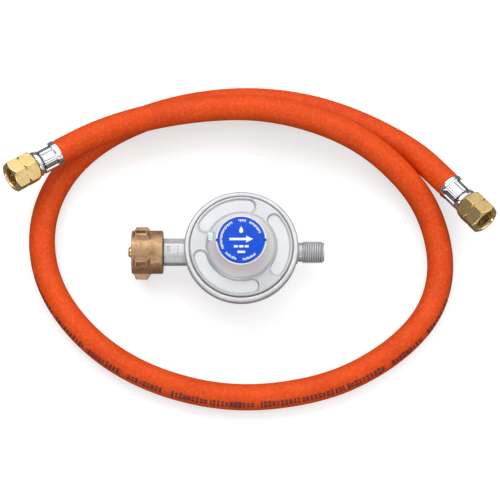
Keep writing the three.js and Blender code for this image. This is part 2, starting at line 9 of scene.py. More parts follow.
import bmesh
import bpy
import numpy as np
from mathutils import Matrix, Vector
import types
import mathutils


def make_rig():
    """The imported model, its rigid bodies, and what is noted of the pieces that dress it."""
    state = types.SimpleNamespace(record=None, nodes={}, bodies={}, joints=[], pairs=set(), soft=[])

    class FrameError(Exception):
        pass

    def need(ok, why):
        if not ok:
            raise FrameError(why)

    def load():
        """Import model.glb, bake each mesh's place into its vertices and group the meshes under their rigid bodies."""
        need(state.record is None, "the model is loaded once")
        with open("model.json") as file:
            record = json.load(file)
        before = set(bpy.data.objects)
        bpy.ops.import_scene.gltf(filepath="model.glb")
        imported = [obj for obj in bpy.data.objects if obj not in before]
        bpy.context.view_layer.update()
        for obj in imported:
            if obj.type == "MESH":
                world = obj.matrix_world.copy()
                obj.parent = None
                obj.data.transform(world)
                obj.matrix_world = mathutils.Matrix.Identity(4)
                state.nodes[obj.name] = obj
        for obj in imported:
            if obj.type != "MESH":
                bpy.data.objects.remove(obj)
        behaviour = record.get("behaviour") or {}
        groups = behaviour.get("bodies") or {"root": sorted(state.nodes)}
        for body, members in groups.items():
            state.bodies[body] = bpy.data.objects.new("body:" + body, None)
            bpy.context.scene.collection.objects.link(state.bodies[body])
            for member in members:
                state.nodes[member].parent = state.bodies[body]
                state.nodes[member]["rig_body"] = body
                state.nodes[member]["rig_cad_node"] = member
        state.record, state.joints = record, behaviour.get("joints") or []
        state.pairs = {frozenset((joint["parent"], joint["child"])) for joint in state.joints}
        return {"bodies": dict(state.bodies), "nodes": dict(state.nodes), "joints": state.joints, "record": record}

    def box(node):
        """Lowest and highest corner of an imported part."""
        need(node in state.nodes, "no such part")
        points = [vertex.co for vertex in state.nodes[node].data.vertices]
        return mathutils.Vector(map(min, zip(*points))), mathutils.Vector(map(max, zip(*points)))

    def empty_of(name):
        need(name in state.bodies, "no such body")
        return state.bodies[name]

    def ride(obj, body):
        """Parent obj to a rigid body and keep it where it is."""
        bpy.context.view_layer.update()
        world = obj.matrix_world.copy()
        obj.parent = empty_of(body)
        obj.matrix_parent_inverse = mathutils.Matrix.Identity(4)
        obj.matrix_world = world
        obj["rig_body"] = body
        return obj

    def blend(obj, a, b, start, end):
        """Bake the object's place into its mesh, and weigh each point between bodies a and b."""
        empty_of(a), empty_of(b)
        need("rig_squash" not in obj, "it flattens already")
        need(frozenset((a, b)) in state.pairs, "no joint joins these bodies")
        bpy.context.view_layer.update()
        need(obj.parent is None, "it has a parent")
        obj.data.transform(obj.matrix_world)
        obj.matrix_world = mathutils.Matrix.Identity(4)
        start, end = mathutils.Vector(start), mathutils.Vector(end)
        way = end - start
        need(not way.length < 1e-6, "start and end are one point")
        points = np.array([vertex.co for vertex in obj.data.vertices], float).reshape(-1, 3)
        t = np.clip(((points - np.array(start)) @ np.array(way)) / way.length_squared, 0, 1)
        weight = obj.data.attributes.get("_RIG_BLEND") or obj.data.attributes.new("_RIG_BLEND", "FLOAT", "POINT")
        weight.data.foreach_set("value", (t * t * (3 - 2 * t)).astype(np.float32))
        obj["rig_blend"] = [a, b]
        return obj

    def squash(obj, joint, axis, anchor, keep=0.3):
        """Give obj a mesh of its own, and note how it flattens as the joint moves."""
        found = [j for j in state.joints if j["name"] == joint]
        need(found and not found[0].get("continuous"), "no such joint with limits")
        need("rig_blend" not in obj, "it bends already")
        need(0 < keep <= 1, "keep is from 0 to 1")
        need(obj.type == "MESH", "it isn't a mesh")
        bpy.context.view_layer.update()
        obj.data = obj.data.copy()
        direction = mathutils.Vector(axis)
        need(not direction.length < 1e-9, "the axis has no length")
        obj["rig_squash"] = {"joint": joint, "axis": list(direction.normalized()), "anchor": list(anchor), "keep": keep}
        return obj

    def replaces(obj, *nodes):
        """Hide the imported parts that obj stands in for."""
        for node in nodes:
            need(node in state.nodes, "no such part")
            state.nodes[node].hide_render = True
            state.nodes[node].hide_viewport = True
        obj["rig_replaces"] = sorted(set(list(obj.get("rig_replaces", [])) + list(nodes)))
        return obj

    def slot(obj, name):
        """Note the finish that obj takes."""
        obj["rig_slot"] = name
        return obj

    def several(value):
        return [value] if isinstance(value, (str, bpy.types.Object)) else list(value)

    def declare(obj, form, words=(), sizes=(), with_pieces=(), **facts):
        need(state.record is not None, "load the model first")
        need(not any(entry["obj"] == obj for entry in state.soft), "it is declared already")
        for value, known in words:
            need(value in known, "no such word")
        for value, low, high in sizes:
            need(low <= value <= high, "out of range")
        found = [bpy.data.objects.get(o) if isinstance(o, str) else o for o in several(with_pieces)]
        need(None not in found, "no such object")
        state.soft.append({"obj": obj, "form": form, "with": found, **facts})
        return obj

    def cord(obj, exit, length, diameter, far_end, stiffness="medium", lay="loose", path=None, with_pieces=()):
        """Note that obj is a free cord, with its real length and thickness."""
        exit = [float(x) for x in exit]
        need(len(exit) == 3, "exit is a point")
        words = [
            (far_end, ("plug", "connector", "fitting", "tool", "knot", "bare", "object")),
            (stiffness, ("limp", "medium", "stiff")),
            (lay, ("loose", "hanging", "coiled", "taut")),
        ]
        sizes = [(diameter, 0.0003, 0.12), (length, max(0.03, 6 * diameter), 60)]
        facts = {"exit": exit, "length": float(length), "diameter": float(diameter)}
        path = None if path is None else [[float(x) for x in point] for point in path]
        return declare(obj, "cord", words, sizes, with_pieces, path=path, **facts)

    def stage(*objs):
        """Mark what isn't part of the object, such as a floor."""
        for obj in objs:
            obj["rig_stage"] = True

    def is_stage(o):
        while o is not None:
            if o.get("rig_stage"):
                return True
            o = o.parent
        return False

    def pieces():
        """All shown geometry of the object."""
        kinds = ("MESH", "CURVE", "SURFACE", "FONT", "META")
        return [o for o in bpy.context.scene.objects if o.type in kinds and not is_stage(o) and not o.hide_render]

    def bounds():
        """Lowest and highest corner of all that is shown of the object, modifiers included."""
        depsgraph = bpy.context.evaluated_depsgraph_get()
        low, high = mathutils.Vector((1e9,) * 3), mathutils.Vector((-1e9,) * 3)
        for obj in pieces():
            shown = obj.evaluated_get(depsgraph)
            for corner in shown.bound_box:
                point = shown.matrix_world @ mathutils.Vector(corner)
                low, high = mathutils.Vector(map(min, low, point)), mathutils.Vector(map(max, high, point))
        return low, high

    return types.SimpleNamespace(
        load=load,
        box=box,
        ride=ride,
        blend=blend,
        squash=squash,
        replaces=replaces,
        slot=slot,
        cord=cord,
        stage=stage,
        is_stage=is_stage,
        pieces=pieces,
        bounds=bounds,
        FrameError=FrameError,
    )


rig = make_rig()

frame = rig.load()
CAD_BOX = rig.bounds()

MM = 0.001
TURN = 2 * math.pi
JOINTS = {joint["name"]: joint for joint in frame["joints"]}

# ---------------- driving dimensions, millimetres

def box_mm(node):
    """The low and high corners of a CAD node's box, in millimetres."""
    return [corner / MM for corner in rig.box(node)]


PORT_HEIGHT = JOINTS["inlet_nut_spin"]["pos_m"][2] / MM
LABEL_BOTTOM, LABEL_TOP = (corner.z for corner in box_mm("label_cap"))
INLET_NUT_MOUTH, INLET_NUT_BACK = (-corner.x for corner in box_mm("inlet_union_nut"))
NIPPLE_END = -box_mm("inlet_nipple")[0].x
STEM_END = -box_mm("regulator_body")[0].x
OUTLET_START, OUTLET_END = (corner.x for corner in box_mm("outlet_fitting"))

HOSE_RADIUS = 7.7
HOSE_BORE_RADIUS = 4.0
CRIMPED_HOSE_RADIUS = 6.3
FERRULE_LENGTH = 12.0
COLLAR_RADIUS = 7.7
COLLAR_START = FERRULE_LENGTH + 0.4
COLLAR_END = COLLAR_START + 3.7
UNION_NUT_START = COLLAR_END + 0.4
UNION_NUT_END = UNION_NUT_START + 16.1
UNION_NUT_FLATS = 17.0
QUARTER_GAS = {"major": 6.58, "minor": 5.60, "pitch": 1.337}
BOTTLE_THREAD = {"major": 10.9, "minor": 10.1, "pitch": 1.814}
ROLL = {"left": -9.0, "right": 6.0}  # degrees that each hexagon is turned from corner up

# The hose's centre line, from its left end, over the other strand, round the loop clockwise as
# seen from above, under itself, and behind the first strand to its right end.
HOSE_ROUTE = [
    (-108.6, 57, 30.1), (-103, 60.8, 28.3), (-87.5, 70, 24.6), (-65, 78.5, 23.8), (-41.5, 84, 23.8),
    (-18, 87, 23.7), (6, 87.5, 23.5), (29.5, 84, 23.2), (52, 77, 22.4),
    (73, 66.5, 20.5), (91.5, 52, 16.9), (106.5, 34.5, 12), (115.5, 13, 8.6),
    (117.5, -10, 7.9), (111, -32.5, 7.9), (96, -51.5, 7.9), (76.5, -66, 7.9),
    (54.5, -76.5, 7.9), (31, -82.5, 7.9), (7, -85, 7.9), (-17, -83.5, 7.9),
    (-40.5, -78, 7.9), (-62.5, -69, 7.9), (-82.5, -56, 7.9), (-99.5, -39, 7.9),
    (-112, -19, 7.9), (-118, 3.5, 7.9), (-116.5, 27, 7.9), (-107, 49, 7.9),
    (-91, 67, 7.9), (-71, 80, 7.9), (-49, 89, 7.9), (-26, 94.5, 7.9),
    (-2, 97, 7.9), (22, 96, 7.9), (45.5, 91.5, 7.9), (68, 83.5, 8),
    (89, 72.5, 9.3), (108, 58, 12.9), (118.9, 45.5, 17.5), (123.2, 40.3, 19.5),
]


# ---------------- curves and sections

def smoothstep(low, high, value):
    share = np.clip((value - low) / (high - low), 0, 1)
    return share * share * (3 - 2 * share)


def soft_min(first, second, width):
    """The smaller of two surfaces, with the crease between them rounded over width."""
    share = np.clip(0.5 + 0.5 * (second - first) / width, 0, 1)
    return second * (1 - share) + first * share - width * share * (1 - share)


def soft_max(first, second, width):
    return -soft_min(-first, -second, width)


def ring_angles(sides):
    return np.linspace(0, TURN, sides, endpoint=False)


def from_flat(angle, flats, turned=0.0):
    """The angle from the middle of the nearest flat of a regular polygon, in radians."""
    share = TURN / flats
    return (angle - turned + share / 2) % share - share / 2


def rounded(outline, radius, closed=True, steps=4):
    """The outline's [radius, height] points with every corner turned into a short curve."""
    corners = [np.array(point, float) for point in outline]
    curve = []
    for index, corner in enumerate(corners):
        if not closed and index in (0, len(corners) - 1):
            curve.append(tuple(corner))
            continue
        before = corners[index - 1] - corner
        after = corners[(index + 1) % len(corners)] - corner
        start = corner + before * min(0.45, radius / np.linalg.norm(before))
        end = corner + after * min(0.45, radius / np.linalg.norm(after))
        for share in np.linspace(0, 1, steps + 1):
            bend = (1 - share) ** 2 * start + 2 * share * (1 - share) * corner + share ** 2 * end
            curve.append(tuple(bend))
    return curve


def divided(outline, step, closed=True):
    """The outline with points added, so that no stretch is longer than step."""
    ends = outline[1:] + outline[:1] if closed else outline[1:]
    fine = []
    for start, end in zip(outline, ends):
        pieces = max(1, math.ceil(math.dist(start, end) / step))
        for piece in range(pieces):
            share = piece / pieces
            fine.append(tuple(a + (b - a) * share for a, b in zip(start, end)))
    if not closed:
        fine.append(outline[-1])
    return fine


def quarter_turn(start, steps):
    """The sine, and how far the cosine has fallen, at steps from a share of a quarter turn to its end."""
    angles = np.linspace(start, 1, steps) * TURN / 4
    return zip(np.sin(angles), 1 - np.cos(angles))


def profile(outline, radius, step, closed=True):
    """The outline, rounded and then divided."""
    return divided(rounded(outline, radius, closed), step, closed)


def thread_rows(sides, start, end, thread, female=True, run_out=0.5):
    """A left-hand thread as (radius, height) rows: it fades out over run_out at each end."""
    steps_per_turn = 16
    flank_share = 0.7  # of each half turn; the rest is the flat crest
    root, crest = ("major", "minor") if female else ("minor", "major")
    turn_share = ring_angles(sides) / TURN
    rows = []
    for height in np.arange(start, end, thread["pitch"] / steps_per_turn):
        wave = np.abs(2 * ((height / thread["pitch"] + turn_share) % 1) - 1)
        flank = np.minimum(wave / flank_share, 1)
        fade = smoothstep(start, start + run_out, height) * smoothstep(end, end - run_out, height)
        rows.append((thread[root] + (thread[crest] - thread[root]) * flank * fade, height))
    return rows


# ---------------- meshes

SHARP_EDGE = math.radians(38)  # edges that turn by more than this stay crisp


def six_volumes(vertices, faces):
    """Six times a solid's volume, negative when its faces are turned inwards."""
    corners = np.asarray(vertices)
    total = 0.0
    for size in {len(face) for face in faces}:
        index = np.array([face for face in faces if len(face) == size])
        for k in range(1, size - 1):
            first, second, third = (corners[index[:, i]] for i in (0, k, k + 1))
            total += (first * np.cross(second, third)).sum()
    return total


def in_scene(name, data):
    """A new object that shows this data."""
    made = bpy.data.objects.new(name, data)
    bpy.context.scene.collection.objects.link(made)
    return made


def mesh_object(name, vertices, faces):
    """An object in metres from points in millimetres, its faces turned outwards."""
    if six_volumes(vertices, faces) < 0:
        faces = [tuple(reversed(face)) for face in faces]
    mesh = bpy.data.meshes.new(name)
    mesh.from_pydata((np.asarray(vertices) * MM).tolist(), [], faces)
    mesh.validate()
    piece = in_scene(name, mesh)
    shade(piece)
    return piece


def shade(piece):
    """Smooth shading, apart from the sharp edges."""
    piece.data.shade_smooth()
    piece.data.set_sharp_from_angle(angle=SHARP_EDGE)


def solid_from_grid(name, points, closed=True):
    """A closed solid from rings of points. The last ring joins the first when closed, and
    otherwise a fan of triangles closes each end."""
    vertices = points.reshape(-1, 3)
    count = len(vertices)
    here = np.arange(count).reshape(points.shape[:2])
    beside = np.roll(here, -1, axis=1)
    quads = np.stack([here, beside, np.roll(beside, -1, axis=0), np.roll(here, -1, axis=0)], axis=-1)
    if closed:
        return mesh_object(name, vertices, quads.reshape(-1, 4).tolist())
    faces = quads[:-1].reshape(-1, 4).tolist()
    vertices = np.vstack([vertices, points[0].mean(0), points[-1].mean(0)])
    for ends in zip(here[0], beside[0], here[-1], beside[-1]):
        first, first_beside, last, last_beside = (int(end) for end in ends)
        faces += [(count, first_beside, first), (count + 1, last, last_beside)]
    return mesh_object(name, vertices, faces)


def lathe(name, rows, sides=96, closed=True, turned=0.0):
    """A solid turned about +Z. A row's radius and height are numbers, or arrays round the ring."""
    angle = ring_angles(sides) + turned
    points = np.empty((len(rows), sides, 3))
    for index, (radius, height) in enumerate(rows):
        points[index, :, 0] = radius * np.cos(angle)
        points[index, :, 1] = radius * np.sin(angle)
        points[index, :, 2] = height
    return solid_from_grid(name, points, closed)


def prism(name, outline, bottom, top, bevel=0.0):
    """A flat outline of (x, y) points, extruded from bottom to top, with its edges eased."""
    count = len(outline)
    vertices = [(x, y, height) for height in (bottom, top) for x, y in outline]
    faces = [tuple(reversed(range(count))), tuple(range(count, 2 * count))]
    for index in range(count):
        beside = (index + 1) % count
        faces.append((index, beside, count + beside, count + index))
    piece = mesh_object(name, vertices, faces)
    if bevel:
        ease_edges(piece, bevel)
    return piece


def ease_edges(piece, width, framed=False):
    """Rounds a piece's edges. A framed piece's flats also get a border, which keeps the rubbed metal and the painted
    highlight on the edges from spreading over them."""
    work = bmesh.new()
    work.from_mesh(piece.data)
    edges = [edge for edge in work.edges if edge.calc_face_angle(0) > math.radians(35)]
    bmesh.ops.bevel(work, geom=edges, offset=width * MM, segments=3, profile=0.5, affect="EDGES")
    if framed:
        bmesh.ops.inset_individual(work, faces=work.faces[:], thickness=0.1 * width * MM)
    work.to_mesh(piece.data)
    work.free()
    shade(piece)


def joined(name, pieces):
    """One object from several closed solids that don't touch or only bed into each other."""
    work = bmesh.new()
    mesh = bpy.data.meshes.new(name)
    for piece in pieces:
        part = piece.data
        slots = np.empty(len(part.polygons), np.int32)
        part.polygons.foreach_get("material_index", slots)
        part.polygons.foreach_set("material_index", slots + len(mesh.materials))
        for material in part.materials:
            mesh.materials.append(material)
        work.from_mesh(part)
        bpy.data.objects.remove(piece)
    work.to_mesh(mesh)
    work.free()
    return in_scene(name, mesh)


def boolean(target, tools, operation):
    """Joins the tools to the target, or cuts them out of it, and removes them."""
    for tool in tools:
        modifier = target.modifiers.new("boolean", "BOOLEAN")
        modifier.operation = operation
        modifier.solver = "EXACT"
        modifier.object = tool
    evaluated = target.evaluated_get(bpy.context.evaluated_depsgraph_get())
    mesh = bpy.data.meshes.new_from_object(evaluated)
    target.modifiers.clear()
    target.data = mesh
    for tool in tools:
        bpy.data.objects.remove(tool)
    shade(target)
    return target


def rod(name, radius, bottom, top, sides=64):
    return lathe(name, [(radius, bottom), (radius, top)], sides, closed=False)


def block(name, low, high):
    outline = [(low[0], low[1]), (high[0], low[1]), (high[0], high[1]), (low[0], high[1])]
    return prism(name, outline, low[2], high[2])


def placed(piece, matrix):
    piece.data.transform(matrix)
    return piece


def axes_matrix(across, up, along, origin):
    """The frame whose +X, +Y and +Z are these directions, with its origin given in metres."""
    matrix = Matrix((across, up, along)).transposed().to_4x4()
    matrix.translation = Vector(origin)
    return matrix


ALONG_INLET = axes_matrix((0, 0, 1), (0, 1, 0), (-1, 0, 0), (0, 0, PORT_HEIGHT * MM))
ALONG_OUTLET = axes_matrix((0, 0, -1), (0, 1, 0), (1, 0, 0), (0, 0, PORT_HEIGHT * MM))


def fitting_matrix(side):
    """A hose end's own frame: +Z out of the hose, the origin at the ferrule's rim."""
    joint = JOINTS[f"{side}_nut_spin"]
    outward = Vector(joint["axis"]).normalized()
    sideways = Vector((0, 0, 1)).cross(outward).normalized()
    upwards = outward.cross(sideways)
    upright = axes_matrix(sideways, upwards, outward, joint["pos_m"])
    return upright @ Matrix.Rotation(math.radians(ROLL[side]), 4, "Z")


# ---------------- materials

class Nodes:
    """The node tree of a material or a world being put together."""

    def __init__(self, owner):
        owner.use_nodes = True
        self.tree = owner.node_tree

    def node(self, kind, **settings):
        made = self.tree.nodes.new(kind)
        for setting, value in settings.items():
            setattr(made, setting, value)
        return made

    def feed(self, socket, value):
        if isinstance(value, bpy.types.NodeSocket):
            self.tree.links.new(value, socket)
        else:
            socket.default_value = value

    def math(self, operation, *values):
        made = self.node("ShaderNodeMath", operation=operation)
        for socket, value in zip(made.inputs, values):
            self.feed(socket, value)
        return made.outputs[0]

    def ranged(self, value, low, high, from_low=0.3, from_high=0.7):
        made = self.node("ShaderNodeMapRange")
        for socket, number in zip(made.inputs, (value, from_low, from_high, low, high)):
            self.feed(socket, number)
        return made.outputs[0]


class Finish(Nodes):
    """A material: a Principled shader fed by procedural patterns."""

    def __init__(self, name, metallic=0.0, **sockets):
        self.material = bpy.data.materials.new(name)
        super().__init__(self.material)
        self.shader = self.tree.nodes["Principled BSDF"]
        self.shader.inputs["Metallic"].default_value = metallic
        for socket, value in sockets.items():
            self.shader.inputs[socket.replace("_", " ")].default_value = value
        self.place = self.node("ShaderNodeTexCoord").outputs["Object"]
        self.tone = None
        self.relief = None

    def times(self, *values):
        return reduce(lambda first, second: self.math("MULTIPLY", first, second), values)

    def apart(self, first, second):
        return self.math("ABSOLUTE", self.math("SUBTRACT", first, second))

    def noise(self, size_mm, detail=3.0, roughness=0.55):
        """A noise whose blotches are about size_mm across."""
        made = self.node("ShaderNodeTexNoise")
        self.feed(made.inputs["Vector"], self.place)
        made.inputs["Scale"].default_value = 1 / (size_mm * MM)
        made.inputs["Detail"].default_value = detail
        made.inputs["Roughness"].default_value = roughness
        return made.outputs["Fac"]

    def blend(self, share, first, second):
        made = self.node("ShaderNodeMix", data_type="RGBA")
        for socket, value in zip((made.inputs[0], made.inputs[6], made.inputs[7]), (share, first, second)):
            self.feed(socket, (*value, 1.0) if isinstance(value, tuple) else value)
        return made.outputs[2]

    def colour(self, value):
        self.tone = value
        self.feed(self.shader.inputs["Base Color"], value)
        return self

    def two_tone(self, pattern, low, high):
        """Blotches of two close colours, the ground that the later tints go over."""
        return self.colour(self.blend(self.ranged(pattern, 0, 1), low, high))

    def tint(self, colour, pattern, *limits):
        """Lays a colour over what is there, as thickly as the pattern says."""
        return self.colour(self.blend(self.ranged(pattern, *limits), self.tone, colour))

    def rough(self, pattern, low, high, *limits):
        self.feed(self.shader.inputs["Roughness"], self.ranged(pattern, low, high, *limits))
        return self

    def bump(self, height, depth_mm, strength):
        """Adds relief depth_mm deep, where height runs from 0 to 1."""
        made = self.node("ShaderNodeBump")
        made.inputs["Strength"].default_value = strength
        made.inputs["Distance"].default_value = depth_mm * MM
        self.feed(made.inputs["Height"], height)
        if self.relief is not None:
            self.feed(made.inputs["Normal"], self.relief)
        self.relief = made.outputs[0]
        self.feed(self.shader.inputs["Normal"], self.relief)
        return self

    def bulge(self):
        return self.node("ShaderNodeNewGeometry").outputs["Pointiness"]

    def painted_hollow_shade(self, dark, amount):
        """Painted shade: darker where the surface is hollow, in threads, grooves and corners, where shade falls."""
        return self.tint(dark, self.bulge(), amount, 0.0, 0.40, 0.485)

    def wear_and_painted_edge_highlight(self, bright, amount):
        """Brighter where the surface bulges: partly metal rubbed bright on its edges, partly a painted highlight along
        them.
        """
        rub_and_highlight = self.ranged(self.bulge(), 0.0, amount, 0.515, 0.58)
        patchy = self.times(rub_and_highlight, self.ranged(self.noise(1.5), 0.3, 1.0))
        return self.tint(bright, patchy, 0, 1, 0, 1)


def zinc(name, low, high, painted_shade_amount):
    finish = Finish(name, metallic=0.45)
    mottle = finish.noise(9, detail=4)
    grain = finish.noise(0.55, detail=2)
    finish.two_tone(mottle, low, high)
    finish.tint((0.66, 0.67, 0.68), grain, 0.0, 0.35)
    # Painted shade in the hollows and corners.
    finish.painted_hollow_shade((0.07, 0.075, 0.09), painted_shade_amount)
    finish.rough(finish.noise(1.6), 0.34, 0.48)
    return finish.bump(grain, 0.05, 0.5).bump(mottle, 0.12, 0.25)


def cast_zinc():
    finish = zinc("cast_zinc", (0.40, 0.405, 0.425), (0.52, 0.525, 0.545), painted_shade_amount=0.9)
    # Edges brightened: partly rubbed metal, partly a painted highlight.
    return finish.wear_and_painted_edge_highlight((0.84, 0.85, 0.86), 0.5)


def cover_zinc():
    """The cover's casting, with painted light: its pocket floors and its cone are painted brighter than its deck."""
    finish = zinc("cover_zinc", (0.37, 0.375, 0.39), (0.44, 0.445, 0.46), painted_shade_amount=0.4)
    place = finish.node("ShaderNodeSeparateXYZ")
    finish.feed(place.inputs[0], finish.place)
    height = finish.math("DIVIDE", place.outputs["Z"], MM)
    # Painted light: the pocket floors are lighter, as if lit from above.
    finish.tint((0.55, 0.56, 0.58), height, 0.6, 0.0, POCKET_FLOOR + 0.1, POCKET_FLOOR + 0.8)
    # Painted light: the cone is much lighter.
    finish.tint((0.86, 0.86, 0.88), height, 0.0, 0.9, DECK + 0.35, DECK + 2.55)
    # Edges brightened: partly rubbed metal, partly a painted highlight.
    return finish.wear_and_painted_edge_highlight((0.88, 0.89, 0.90), 0.5)


def satin_brass():
    finish = Finish("satin_brass", metallic=0.7)
    mottle = finish.noise(5, detail=5)
    finish.two_tone(mottle, (0.30, 0.175, 0.082), (0.49, 0.325, 0.185))
    finish.tint((0.23, 0.115, 0.055), finish.noise(2.2), 0, 0.6, 0.48, 0.70)
    # Painted shade in the hollows and corners.
    finish.painted_hollow_shade((0.07, 0.035, 0.018), 0.8)
    # Edges brightened: partly rubbed metal, partly a painted highlight, as on the wings' bright rims.
    finish.wear_and_painted_edge_highlight((0.98, 0.80, 0.58), 1.0)
    finish.rough(finish.noise(1.4), 0.40, 0.56)
    return finish.bump(finish.noise(0.5, detail=2), 0.05, 0.6).bump(mottle, 0.1, 0.3)


def bright_brass():
    finish = Finish("bright_brass", metallic=1.0)
    mottle = finish.noise(4, detail=4)
    finish.two_tone(mottle, (0.70, 0.50, 0.19), (0.82, 0.62, 0.29))
    finish.tint((0.56, 0.33, 0.10), finish.noise(0.9), 0, 0.25, 0.55, 0.75)
    # Painted shade in the hollows and corners.
    finish.painted_hollow_shade((0.10, 0.045, 0.012), 0.8)
    # Edges brightened: partly rubbed metal, partly a painted highlight.
    finish.wear_and_painted_edge_highlight((0.95, 0.83, 0.56), 0.6)
    finish.rough(finish.noise(1.8), 0.18, 0.32)
    return finish.bump(finish.noise(0.22, detail=2), 0.008, 0.2).bump(mottle, 0.05, 0.2)


def chrome():
    finish = Finish("chrome", metallic=1.0)
    smudge = finish.noise(4, detail=4)
    finish.two_tone(smudge, (0.58, 0.59, 0.61), (0.72, 0.73, 0.75))
    # Painted shade and painted dark reflection in the grooves and hollows.
    finish.painted_hollow_shade((0.02, 0.02, 0.025), 1.0)
    finish.rough(smudge, 0.05, 0.14)
    return finish.bump(finish.noise(2.2), 0.02, 0.3)


def steel():
    finish = Finish("steel", metallic=1.0)
    drawn = finish.noise(0.4)
    finish.two_tone(drawn, (0.36, 0.37, 0.39), (0.50, 0.51, 0.53))
    return finish.rough(finish.noise(1.2), 0.26, 0.45).bump(drawn, 0.015, 0.5)


def black_rubber():
    finish = Finish("black_rubber")
    bloom = finish.noise(3)
    finish.two_tone(bloom, (0.010, 0.010, 0.011), (0.026, 0.026, 0.027))
    return finish.rough(bloom, 0.6, 0.8).bump(finish.noise(0.35), 0.04, 0.6)


def blue_label():
    finish = Finish("blue_label", Specular_IOR_Level=0.15)
    finish.two_tone(finish.noise(3.5), (0.0, 0.050, 0.46), (0.001, 0.068, 0.54))
    orange_peel = finish.noise(0.5, detail=2)
    return finish.rough(orange_peel, 0.3, 0.42).bump(orange_peel, 0.01, 0.4)


def white_ink():
    finish = Finish("white_ink")
    patch = finish.noise(0.25, detail=2)
    finish.two_tone(patch, (0.62, 0.64, 0.68), (0.76, 0.77, 0.79))
    return finish.rough(patch, 0.4, 0.55).bump(patch, 0.006, 0.4)


def pale_vent():
    finish = Finish("pale_vent", Subsurface_Weight=0.12)
    cloud = finish.noise(1.6)
    finish.two_tone(cloud, (0.58, 0.76, 0.66), (0.82, 0.90, 0.85))
    return finish.rough(cloud, 0.38, 0.55).bump(finish.noise(0.3), 0.01, 0.4)


def white_plastic():
    finish = Finish("white_plastic")
    cloud = finish.noise(2.5)
    finish.two_tone(cloud, (0.62, 0.62, 0.59), (0.74, 0.74, 0.71))
    return finish.rough(cloud, 0.4, 0.55).bump(finish.noise(0.3), 0.012, 0.4)


PRINT_HALF_HEIGHT = 2.4  # of the dark printed line along the hose
PRINT_PITCH = 2.4  # from one bar to the next
PRINT_WORD = 26.0  # from one run of bars to the next
CLOTH_THREADS = 2.1  # radians of the cloth's weave for each millimetre


def orange_rubber():
    """Cloth-cured orange rubber, with a greeked dark print: bars of uneven width, no letters.
    The UV map's U is the distance along the hose in metres, V the share of the way round."""
    finish = Finish("orange_rubber", Specular_IOR_Level=0.18)
    uv = finish.node("ShaderNodeSeparateXYZ")
    finish.feed(uv.inputs[0], finish.node("ShaderNodeTexCoord").outputs["UV"])
    along = finish.math("DIVIDE", uv.outputs["X"], MM)
    around = finish.times(finish.math("SUBTRACT", uv.outputs["Y"], 0.5), TURN * HOSE_RADIUS)

    def stretches(length):
        """Which stretch of this length a point lies in, and how far along it as a share."""
        steps = finish.math("DIVIDE", along, length)
        number = finish.math("FLOOR", steps)
        return number, finish.math("SUBTRACT", steps, number)

    def drawn(number, seed, low, high):
        """A random number between low and high for each stretch."""
        made = finish.node("ShaderNodeTexWhiteNoise", noise_dimensions="1D")
        finish.feed(made.inputs["W"], finish.math("ADD", number, seed))
        return finish.ranged(made.outputs["Value"], low, high, 0.0, 1.0)

    def within(reach, distance, soft):
        """1 where the distance is less than the reach, 0 beyond it, and soft in between."""
        return finish.ranged(finish.math("SUBTRACT", reach, distance), 0.0, 1.0, -soft, soft)

    bar, along_bar = stretches(PRINT_PITCH)
    wide = within(drawn(bar, 0.5, 0.28, 0.47), finish.apart(along_bar, 0.5), 0.03)
    reach = finish.times(drawn(bar, 7.5, 0.62, 1.0), PRINT_HALF_HEIGHT)
    tall = within(reach, finish.math("ABSOLUTE", around), 0.06)
    waist = finish.ranged(finish.apart(around, 0.15), 0.0, 1.0, 0.10, 0.22)
    unbroken = finish.math("LESS_THAN", drawn(bar, 3.5, 0.0, 1.0), 0.45)
    broken = finish.math("MAXIMUM", waist, unbroken)
    word, along_word = stretches(PRINT_WORD)
    in_word = finish.math("LESS_THAN", along_word, drawn(word, 1.5, 0.84, 0.95))
    faded = finish.ranged(finish.noise(0.8, detail=4), 0.65, 0.95)
    ink = finish.times(wide, tall, broken, in_word, faded)

    warp = finish.math("SINE", finish.times(finish.math("ADD", along, around), CLOTH_THREADS))
    weft = finish.math("SINE", finish.times(finish.math("SUBTRACT", along, around), CLOTH_THREADS))
    cloth = finish.ranged(finish.times(warp, weft), 0.0, 1.0, -1.0, 1.0)

    fine = finish.noise(1.8, detail=5, roughness=0.6)
    finish.two_tone(finish.noise(22, detail=4), (0.55, 0.046, 0.0015), (0.65, 0.062, 0.003))
    finish.tint((0.76, 0.15, 0.035), fine, 0.0, 0.4, 0.5, 0.72)
    finish.tint((0.46, 0.022, 0.001), fine, 0.3, 0.0, 0.3, 0.48)
    finish.tint((0.035, 0.022, 0.026), ink, 0, 1, 0, 1)
    return finish.rough(fine, 0.48, 0.66).bump(cloth, 0.06, 0.4).bump(fine, 0.07, 0.35)


DECK = 31.95  # the height of the cover's flat ring
POCKET_FLOOR = 30.62

FINISHES = (
    cast_zinc, cover_zinc, satin_brass, bright_brass, chrome, steel, orange_rubber, black_rubber,
    blue_label, white_ink, pale_vent, white_plastic,
)
MATERIALS = {finish.__name__: finish().material for finish in FINISHES}


def finished(piece, node, body, slot):
    """Gives a piece its material, lets it stand for its CAD node and rides it on its body."""
    if not piece.data.materials:
        piece.data.materials.append(MATERIALS[slot])
    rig.replaces(piece, node)
    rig.slot(piece, slot)
    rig.ride(piece, body)
    return piece


# ---------------- camera and light

def camera():
    elevation = math.radians(75)
    distance = 1.4
    seen_width = 0.295
    target = Vector((0.0051, 0.002, 0.015))
    back = Vector((0, -math.cos(elevation), math.sin(elevation)))
    data = bpy.data.cameras.new("camera")
    data.lens = distance * data.sensor_width / seen_width
    viewer = in_scene("camera", data)
    viewer.location = target + back * distance
    viewer.rotation_euler = (-back).to_track_quat("-Z", "Y").to_euler()
    bpy.context.scene.camera = viewer


def soft_box(name, location, size, power):
    data = bpy.data.lights.new(name, "AREA")
    data.shape = "RECTANGLE"
    data.size, data.size_y = size
    data.energy = power
    light = in_scene(name, data)
    light.location = location
    light.rotation_euler = (-Vector(location)).to_track_quat("-Z", "Y").to_euler()


